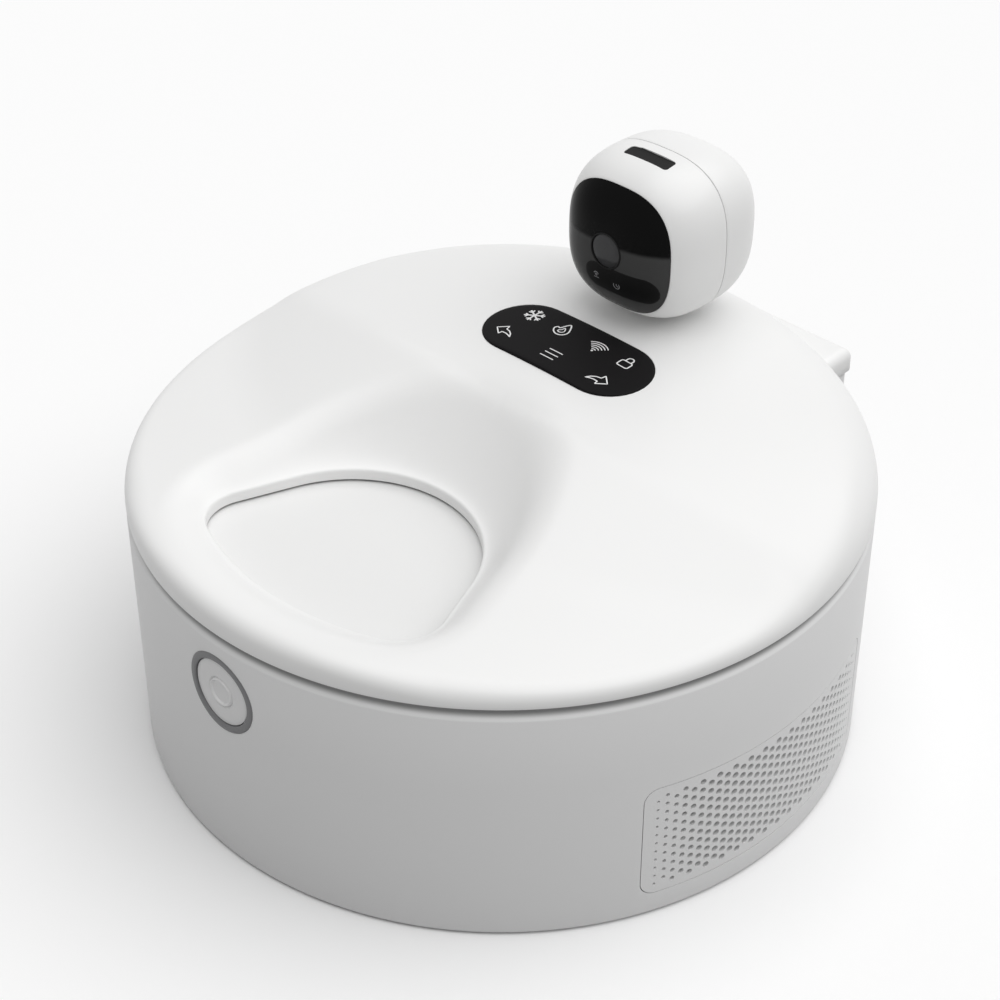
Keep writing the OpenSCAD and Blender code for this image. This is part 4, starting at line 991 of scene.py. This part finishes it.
class FEEDER_OT_housing(bpy.types.Operator):
    """Build the round base housing with its hinge block and openings"""

    bl_idname = "feeder.housing"
    bl_label = "Base housing"

    def execute(self, context):
        sharp = 50.0
        foot_r, block_inset, block_r = 1.2, 1.5, 2.5
        inner = BODY_R - WALL
        ledge_w, ledge_top, ledge_low = 4.7, 113.5, 110.5
        bevel = ((0.0, 40.0), (0.0, 4.9), (0.12, 4.5), (0.45, 4.1), (1.1, 3.4), (2.25, 1.9), (2.4, 1.6),
                 (2.45, 0.1), (2.55, 0.0))
        profile = [(inner, SKIRT_LOW)]
        profile += fillet(BODY_R - foot_r, SKIRT_LOW + foot_r, foot_r, -90, 0, 6)
        profile += [(BODY_R - inset, RIM_Z - drop) for inset, drop in bevel]
        profile += [(inner + 0.15, RIM_Z), (inner, RIM_Z - 0.15), (inner, ledge_top)]
        profile += [(inner - ledge_w, ledge_top), (inner - ledge_w, ledge_low)]
        profile += [(inner, ledge_low - ledge_w)]
        body = lathe("base_housing", profile, 400, upright(), loop=True, sharp=sharp)
        levels = [(84.0, 4.0), (85.2, 1.2), (88.0, 0.0), (RIM_Z - 0.4, 0.0), (RIM_Z, 0.4)]
        block = hump_rows(HUMP_HALF_W - block_inset, HINGE_Y - block_inset, block_r, levels,
                          lambda z: BODY_R - WALL / 2.0)
        carve(body, [skin("hinge_block", block, caps=ENDS)]
              + rods("base_knuckle", KNUCKLE_R, BASE_KNUCKLES, bevel=0.4), sharp, "UNION")
        button = facing_front(BUTTON_Z)
        jack = facing_front(JACK_Z)
        carve(body, rods("room", KNUCKLE_R + KNUCKLE_GAP, LID_KNUCKLES, 2 * KNUCKLE_GAP)
              + rods("bore", PIN_R, BASE_KNUCKLES, 0.6)
              + [drill("button_hole", BEZEL_R + 0.1, BODY_R - 12.0, BODY_R + 5.0, button, 120),
                 drill("jack_hole", JACK_R, -BODY_R - 5.0, -BODY_R + 8.0, jack, 64),
                 self.vent_room(1.0), self.vent_room(-1.0)], sharp)
        seat(body, "base", "base_plastic", "outer_housing")
        return {"FINISHED"}

    def vent_room(self, side):
        """Cutter for a vent's window in the wall."""
        half_w, half_h, r = VENT_HALF_ANGLE * BODY_R, (VENT_HIGH - VENT_LOW) / 2.0, VENT_CORNER_R
        ends = [fillet(sx * (half_w - r), sy * (half_h - r), r, start, start + 90, 8)
                for sx, sy, start in ((1, 1, 0), (-1, 1, 90), (-1, -1, 180), (1, -1, 270))]
        top = straight(half_w - r, half_h, r - half_w, half_h, 48)[1:-1]
        flat = np.concatenate((ends[0], top, ends[1], ends[2], -top, ends[3]))
        across = BODY_R * np.sin(flat[:, 0] / BODY_R)
        z = flat[:, 1] + (VENT_LOW + VENT_HIGH) / 2.0
        rows = [np.stack((np.full(len(z), side * reach), across, z), -1)
                for reach in (BODY_R - 40.0, BODY_R + 6.0)]
        return skin("vent_room", rows, caps=ENDS)


class FEEDER_OT_vents(bpy.types.Operator):
    """Build the two perforated vent inserts"""

    bl_idname = "feeder.vents"
    bl_label = "Vents"

    def execute(self, context):
        sizes = context.scene.feeder_sizes
        tree, keys = vent_tree()
        gap, margin, recess, thickness = 0.35, 5.5, 0.05, 2.0
        width = 2.0 * (VENT_HALF_ANGLE * BODY_R - gap)
        height = VENT_HIGH - VENT_LOW - 2.0 * gap
        lengths = {"Width": width, "Height": height, "Corner": VENT_CORNER_R - gap, "Thickness": thickness,
                   "Body Radius": BODY_R - recess, "Middle Height": (VENT_LOW + VENT_HIGH) / 2.0}
        values = {name: value * MM for name, value in lengths.items()}
        values.update({
            "Columns": int((width - 2.0 * margin) / (sizes.vent_column / MM)) | 1,
            "Rows": int((height - margin) / (sizes.vent_row / MM)),
            "Column Pitch": sizes.vent_column, "Row Pitch": sizes.vent_row,
            "Middle Hole": sizes.vent_hole_mid, "End Hole": sizes.vent_hole_edge,
            "Finish": finish("base_plastic")})
        for side, facing in (("right", 0.0), ("left", math.pi)):
            carrier = bpy.data.objects.new("vent_" + side, bpy.data.meshes.new("vent_" + side))
            context.scene.collection.objects.link(carrier)
            step = carrier.modifiers.new("vent", "NODES")
            step.node_group = tree
            for name, value in {**values, "Facing": facing}.items():
                step[keys[name]] = value
            made = carrier.evaluated_get(context.evaluated_depsgraph_get())
            mesh = bpy.data.meshes.new_from_object(made)
            if not mesh.polygons:
                raise RuntimeError("the vent's tree made no mesh")
            carrier.modifiers.clear()
            carrier.data = mesh
            shade(carrier, 40.0)
            seat(carrier, "base", "base_plastic", "vent_grille_" + side)
        return {"FINISHED"}


class FEEDER_OT_button(bpy.types.Operator):
    """Build the release button, its bezel and its latch arm"""

    bl_idname = "feeder.button"
    bl_label = "Release button"

    def execute(self, context):
        def on_wall(x, y, h):
            """Depths near the wall follow its curve, deeper ones lie flat."""
            depth = np.where(h > BODY_R - 5.0, np.sqrt(h ** 2 - x ** 2), h)
            return np.stack((x, -depth, y + BUTTON_Z), -1)

        bore, flange, back, shoulder = BUTTON_R + 0.3, BEZEL_R + 2.5, 152.3, 154.7
        proud = BODY_R + 0.3
        ring = [(bore, back), (flange, back), (flange, shoulder), (BEZEL_R, shoulder), (BEZEL_R, BODY_R)]
        ring += [(BEZEL_R - 0.15, BODY_R + 0.2), (BEZEL_R - 0.5, proud), (bore + 0.5, proud)]
        ring += [(bore + 0.15, BODY_R + 0.15), (bore, BODY_R - 0.1)]
        bezel = lathe("button_bezel_ring", ring, 160, on_wall, loop=True, sharp=40.0)
        seat(bezel, "base", "bezel_plastic", "button_bezel")
        face, stop_r, stop_back, stop_front = BODY_R - 0.4, BUTTON_R + 2.0, 150.5, 152.0
        disc = [(0.0, STEM_BACK), (STEM_R, STEM_BACK), (STEM_R, stop_back), (stop_r, stop_back)]
        disc += [(stop_r, stop_front), (BUTTON_R, stop_front), (BUTTON_R, face - 0.5)]
        disc += [(BUTTON_R - 0.15, face - 0.15), (BUTTON_R - 0.5, face), (12.0, face), (8.0, face)]
        dimple = ((0.9, 0.0), (0.3, -0.7), (-0.2, 0.3), (-0.6, 0.35), (-1.3, -0.4))
        disc += [(DIMPLE_R + out, face + rise) for out, rise in dimple]
        disc += [(2.5, face - 0.4), (0.0, face - 0.4)]
        button = lathe("release_plate", disc, 160, on_wall, sharp=40.0)
        seat(button, "button", "base_plastic", "release_button")
        self.latch()
        return {"FINISHED"}

    def latch(self):
        """Spring arm behind the button, built straight with a nose at its top; on the feeder it is held at
        its foot and bent back by the button's stem.
        """
        nose, foot = 3.0, 9.0
        low, high = [np.array(corner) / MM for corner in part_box("latch_arm")]
        front, under_nose = low[1] + nose, high[2] - nose
        levels = [(z, front) for z in np.linspace(low[2], under_nose, 36)]
        levels += [(under_nose, low[1]), (high[2], low[1])]
        rows = [[(low[0], y, z), (high[0], y, z), (high[0], high[1], z), (low[0], high[1], z)]
                for z, y in levels]
        arm = skin("latch_spring", rows, caps=ENDS)
        arm.data.materials.append(finish("bezel_plastic"))
        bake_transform(arm)
        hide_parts("latch_arm")


class FEEDER_OT_panel(bpy.types.Operator):
    """Build the black touch panel and its printed symbols"""

    bl_idname = "feeder.panel"
    bl_label = "Touch panel"

    def execute(self, context):
        def on_dome(x, y, height):
            return np.stack((x, y, dome_top(x, y) + height), -1)

        plate = inlay("touch_panel", PANEL_SIZE, PANEL_AT, on_dome, 0.0, 2.6)
        seat(plate, "lid", "panel_gloss", "control_panel")
        stroke = context.scene.feeder_sizes.symbol_stroke / MM
        marks = [line("panel_symbols", path, stroke * factor, on_dome, 0.06, 0.1, closed)
                 for path, closed, factor in symbols()]
        seat(join(marks), "lid", "panel_gloss", look="symbol_print")
        return {"FINISHED"}


class FEEDER_OT_camera(bpy.types.Operator):
    """Build the camera's shells, window, lens and top slot"""

    bl_idname = "feeder.camera"
    bl_label = "Camera"
    sharp = 45.0

    def execute(self, context):
        self.window()
        self.shells()
        self.slot_cap()
        self.lens()
        self.strip()
        return {"FINISHED"}

    def lens_room(self, radius):
        """Cutter round the lens."""
        eye = facing_front(HEAD[2] + LENS_DZ)
        return drill("lens_room", radius, HEAD_FRONT - 12.0, HEAD_FRONT + 5.0, eye)

    def window(self):
        """Black front of the head, open for the lens."""
        edge, skin_t = WINDOW_DY - HEAD_GAP, 1.6
        rows = head_rings(-HEAD_HALF[1], edge, 0.0, 22)
        rows += [head_ring(edge + 0.05, 0.12), head_ring(edge + 0.25, 0.4)]
        rows += head_rings(skin_t - HEAD_HALF[1], edge + 0.3, skin_t, 14)[::-1]
        window = skin("camera_front_window", rows, sharp=self.sharp)
        carve(window, [self.lens_room(8.55)], self.sharp)
        # Its finish paints the lid's reflection low on the window.
        seat(window, "camera", "panel_gloss", "camera_window", look="window_gloss")

    def shells(self):
        """White shells before and behind a fine seam, open for the neck and the slot."""
        seam, edge, pole = 0.2, WINDOW_DY + HEAD_GAP, HEAD_HALF[1]
        fore = [head_ring(edge + 0.25, 0.45), head_ring(edge + 0.05, 0.12)]
        fore += head_rings(edge + 0.15, -seam - 0.25, 0.0, 28)
        fore += [head_ring(-seam - 0.06, 0.08), head_ring(-seam, 0.3)]
        fore += head_rings(-seam, WINDOW_DY + 1.2, HEAD_WALL, 16)
        aft = [head_ring(seam, 0.3), head_ring(seam + 0.06, 0.08)]
        aft += head_rings(seam + 0.25, pole, 0.0, 34)
        parting = len(aft) - 1
        aft += head_rings(pole - HEAD_WALL, seam, HEAD_WALL, 18)
        slot = prism("slot_room", self.slot_outline(0.12) + HEAD[:2], HEAD[2] + 20.0, HEAD[2] + 45.0)
        for side, rows, breaks, tools in (("front", fore, (), [slot]), ("rear", aft, (parting,), [])):
            shell = skin(f"camera_{side}_case", rows, loop=True, sharp=self.sharp, breaks=breaks)
            neck = drill("neck_room", NECK_R + 0.3, HEAD[2] - 60.0, HEAD[2] - 20.0, upright(HEAD[1]))
            carve(shell, [neck] + tools, self.sharp)
            seat(shell, "camera", "lid_plastic", f"camera_{side}_shell")

    def slot_outline(self, grow):
        """Top slot, with a step at its rear left corner."""
        half_l, half_w = SLOT_SIZE[0] / 2.0 + grow, SLOT_SIZE[1] / 2.0 + grow
        r, step_l, step_w, step_r = 1.6, 4.2, 0.6, 0.6
        path = fillet(half_l - r, half_w - r, r, 0, 90, 6)
        path += fillet(step_l - half_l + step_r, half_w - step_r, step_r, 90, 150, 3)
        path += fillet(r - half_l, half_w - step_w - r, r, 90, 180, 6)
        path += fillet(r - half_l, r - half_w, r, 180, 270, 6)
        path += fillet(half_l - r, r - half_w, r, 270, 360, 6)
        return np.array(path) + (0.0, SLOT_DY)

    def slot_cap(self):
        rows = [head_top(*self.slot_outline(0.0).T, height) for height in (-2.6, -0.22)]
        seat(skin("camera_slot", rows, caps=ENDS), "camera", "black_plastic", "camera_slot_cap")

    def lens(self):
        """Lens in its ring, just proud of the window."""
        eye = facing_front(HEAD[2] + LENS_DZ)
        bore, outer, glass_r, rise, sink = 7.75, 8.45, 7.7, 0.75, 0.55
        ring = ((bore, -9.0), (outer, -9.0), (outer, -0.1), (8.3, 0.15), (8.0, 0.2), (bore, 0.05))
        ring = [(r, HEAD_FRONT + h) for r, h in ring]
        piece = lathe("lens_bezel", ring, 120, eye, loop=True, sharp=40.0)
        seat(piece, "camera", "bezel_plastic", "lens_ring", look="black_plastic")
        edge = HEAD_FRONT - sink
        dome = [(0.0, HEAD_FRONT - 7.0), (glass_r, HEAD_FRONT - 7.0), (glass_r, edge)]
        dome += [(glass_r * math.cos(a), edge + rise * math.sin(a))
                 for a in np.radians(np.linspace(8, 90, 12))]
        piece = lathe("lens_glass_dome", dome, 120, eye, sharp=50.0)
        seat(piece, "camera", "lens_glass", "camera_lens")

    def strip(self):
        """Dark status strip low on the window, with faint marks."""
        piece = inlay("camera_status_strip", (37.5, 12.8), (6.9, -12.6), head_front, 0.05, 0.2, 0.05)
        carve(piece, [self.lens_room(8.6)], self.sharp)
        seat(piece, "camera", "panel_gloss", look="strip_black")
        paths = ((arc_path(-5.4, -12.6, 1.4, 20, 160, 12), False),
                 (straight(-6.8, -14.0, -4.0, -14.0), False),
                 (arc_path(-5.4, -12.6, 0.5, 0, 330, 11), True),
                 (arc_path(6.0, -13.9, 1.6, 150, 400, 18), False),
                 (straight(6.0, -13.9, 6.0, -12.9, 3), False),
                 (straight(6.0, -13.9, 7.0, -14.3, 3), False))
        marks = [line("camera_status_marks", path, 0.3, head_front, 0.08, 0.0, closed)
                 for path, closed in paths]
        seat(join(marks), "camera", "panel_gloss", look="status_print")


class FEEDER_OT_inner(bpy.types.Operator):
    """Give the frame's own pieces their finishes"""

    bl_idname = "feeder.inner"
    bl_label = "Inner pieces"

    def execute(self, context):
        for row in frame["record"]["subparts"]:
            node = frame["nodes"][row["node"]]
            for holder in node.material_slots:
                holder.material = finish(row["material_slot"])
        return {"FINISHED"}


class FEEDER_OT_stage(bpy.types.Operator):
    """Make the floor, the light and the camera"""

    bl_idname = "feeder.stage"
    bl_label = "Stage"

    def execute(self, context):
        scene = context.scene
        scene.view_settings.view_transform = "Standard"
        side = 20000.0
        corners = [(-side, -side, 0), (side, -side, 0), (side, side, 0), (-side, side, 0)]
        floor = solid("studio_floor", corners, [(0, 1, 2, 3)])
        floor.data.materials.append(self.floor_finish())
        self.light(scene)
        self.viewer(scene)
        return {"FINISHED"}

    def viewer(self, scene):
        azimuth, elevation = math.radians(44.16), math.radians(35.85)
        place = (0.5558, -0.57307, 0.67757)
        level = math.cos(elevation)
        back = Vector((math.sin(azimuth) * level, -math.cos(azimuth) * level, math.sin(elevation)))
        right = Vector((math.cos(azimuth), math.sin(azimuth), 0.0))
        eye = bpy.data.cameras.new("viewer")
        eye.sensor_width, eye.lens, eye.clip_start, eye.clip_end = 36.0, 81.71, 0.05, 100.0
        viewer = bpy.data.objects.new("viewer", eye)
        turn = Matrix((right, back.cross(right), back)).transposed().to_4x4()
        viewer.matrix_world = Matrix.Translation(place) @ turn
        scene.collection.objects.link(viewer)
        scene.camera = viewer

    def seen(self, web):
        """One for rays that show the background: from the camera, off gloss and through glass."""
        path = web.add("ShaderNodeLightPath", None)
        kinds = ("Is Camera Ray", "Is Glossy Ray", "Is Transmission Ray")
        return sum(Wire(path.outputs[name]) for name in kinds) > 0.5

    def floor_finish(self):
        material = bpy.data.materials.new("floor_white")
        material.use_nodes = True
        web = Web(material.node_tree)
        web.tree.nodes.remove(web.tree.nodes["Principled BSDF"])
        pale, bounce = [web.add("ShaderNodeBsdfDiffuse", "BSDF", Color=(*grey(tone), 1.0))
                        for tone in (0.97, 0.42)]
        both = web.add("ShaderNodeMixShader", "Shader", Fac=self.seen(web), Shader=bounce, Shader_001=pale)
        web.feed(web.tree.nodes["Material Output"].inputs["Surface"], both)
        return material

    def light(self, scene):
        fill, power, spread, aim = 0.4, 2.0, 80.0, (-0.28, -0.22, -1.0)
        world = bpy.data.worlds.new("studio")
        scene.world = world
        world.use_nodes = True
        web = Web(world.node_tree)
        backdrop = world.node_tree.nodes["Background"]
        backdrop.inputs["Color"].default_value = (1.0, 1.0, 1.0, 1.0)
        web.feed(backdrop.inputs["Strength"], fill + (1.0 - fill) * self.seen(web))
        lamp = bpy.data.lights.new("key", "SUN")
        lamp.energy, lamp.angle = power, math.radians(spread)
        holder = bpy.data.objects.new("key", lamp)
        holder.rotation_mode = "QUATERNION"
        holder.rotation_quaternion = Vector(aim).to_track_quat("-Z", "Y")
        scene.collection.objects.link(holder)


class FEEDER_PT_pieces(bpy.types.Panel):
    """Sizes, colours and pieces of the feeder"""

    bl_idname = "FEEDER_PT_pieces"
    bl_label = "Wet food feeder"
    bl_space_type = "VIEW_3D"
    bl_region_type = "UI"
    bl_category = "Feeder"

    def draw(self, context):
        for group in (context.scene.feeder_sizes, context.scene.feeder_colours):
            box = self.layout.box()
            for key in type(group).__annotations__:
                box.prop(group, key)
        for operator in OPERATORS:
            self.layout.operator(operator.bl_idname)


OPERATORS = (FEEDER_OT_stage, FEEDER_OT_inner, FEEDER_OT_lid, FEEDER_OT_dish, FEEDER_OT_hinge,
             FEEDER_OT_housing, FEEDER_OT_vents, FEEDER_OT_button, FEEDER_OT_panel, FEEDER_OT_camera)
CLASSES = (FeederSizes, FeederColours, *OPERATORS, FEEDER_PT_pieces)


def register():
    for kind in CLASSES:
        bpy.utils.register_class(kind)
    bpy.types.Scene.feeder_sizes = PointerProperty(type=FeederSizes)
    bpy.types.Scene.feeder_colours = PointerProperty(type=FeederColours)


def unregister():
    del bpy.types.Scene.feeder_colours
    del bpy.types.Scene.feeder_sizes
    for kind in reversed(CLASSES):
        bpy.utils.unregister_class(kind)


def main():
    register()
    for operator in OPERATORS:
        group, name = operator.bl_idname.split(".")
        getattr(getattr(bpy.ops, group), name)()
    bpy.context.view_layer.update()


if __name__ == "__main__":
    main()
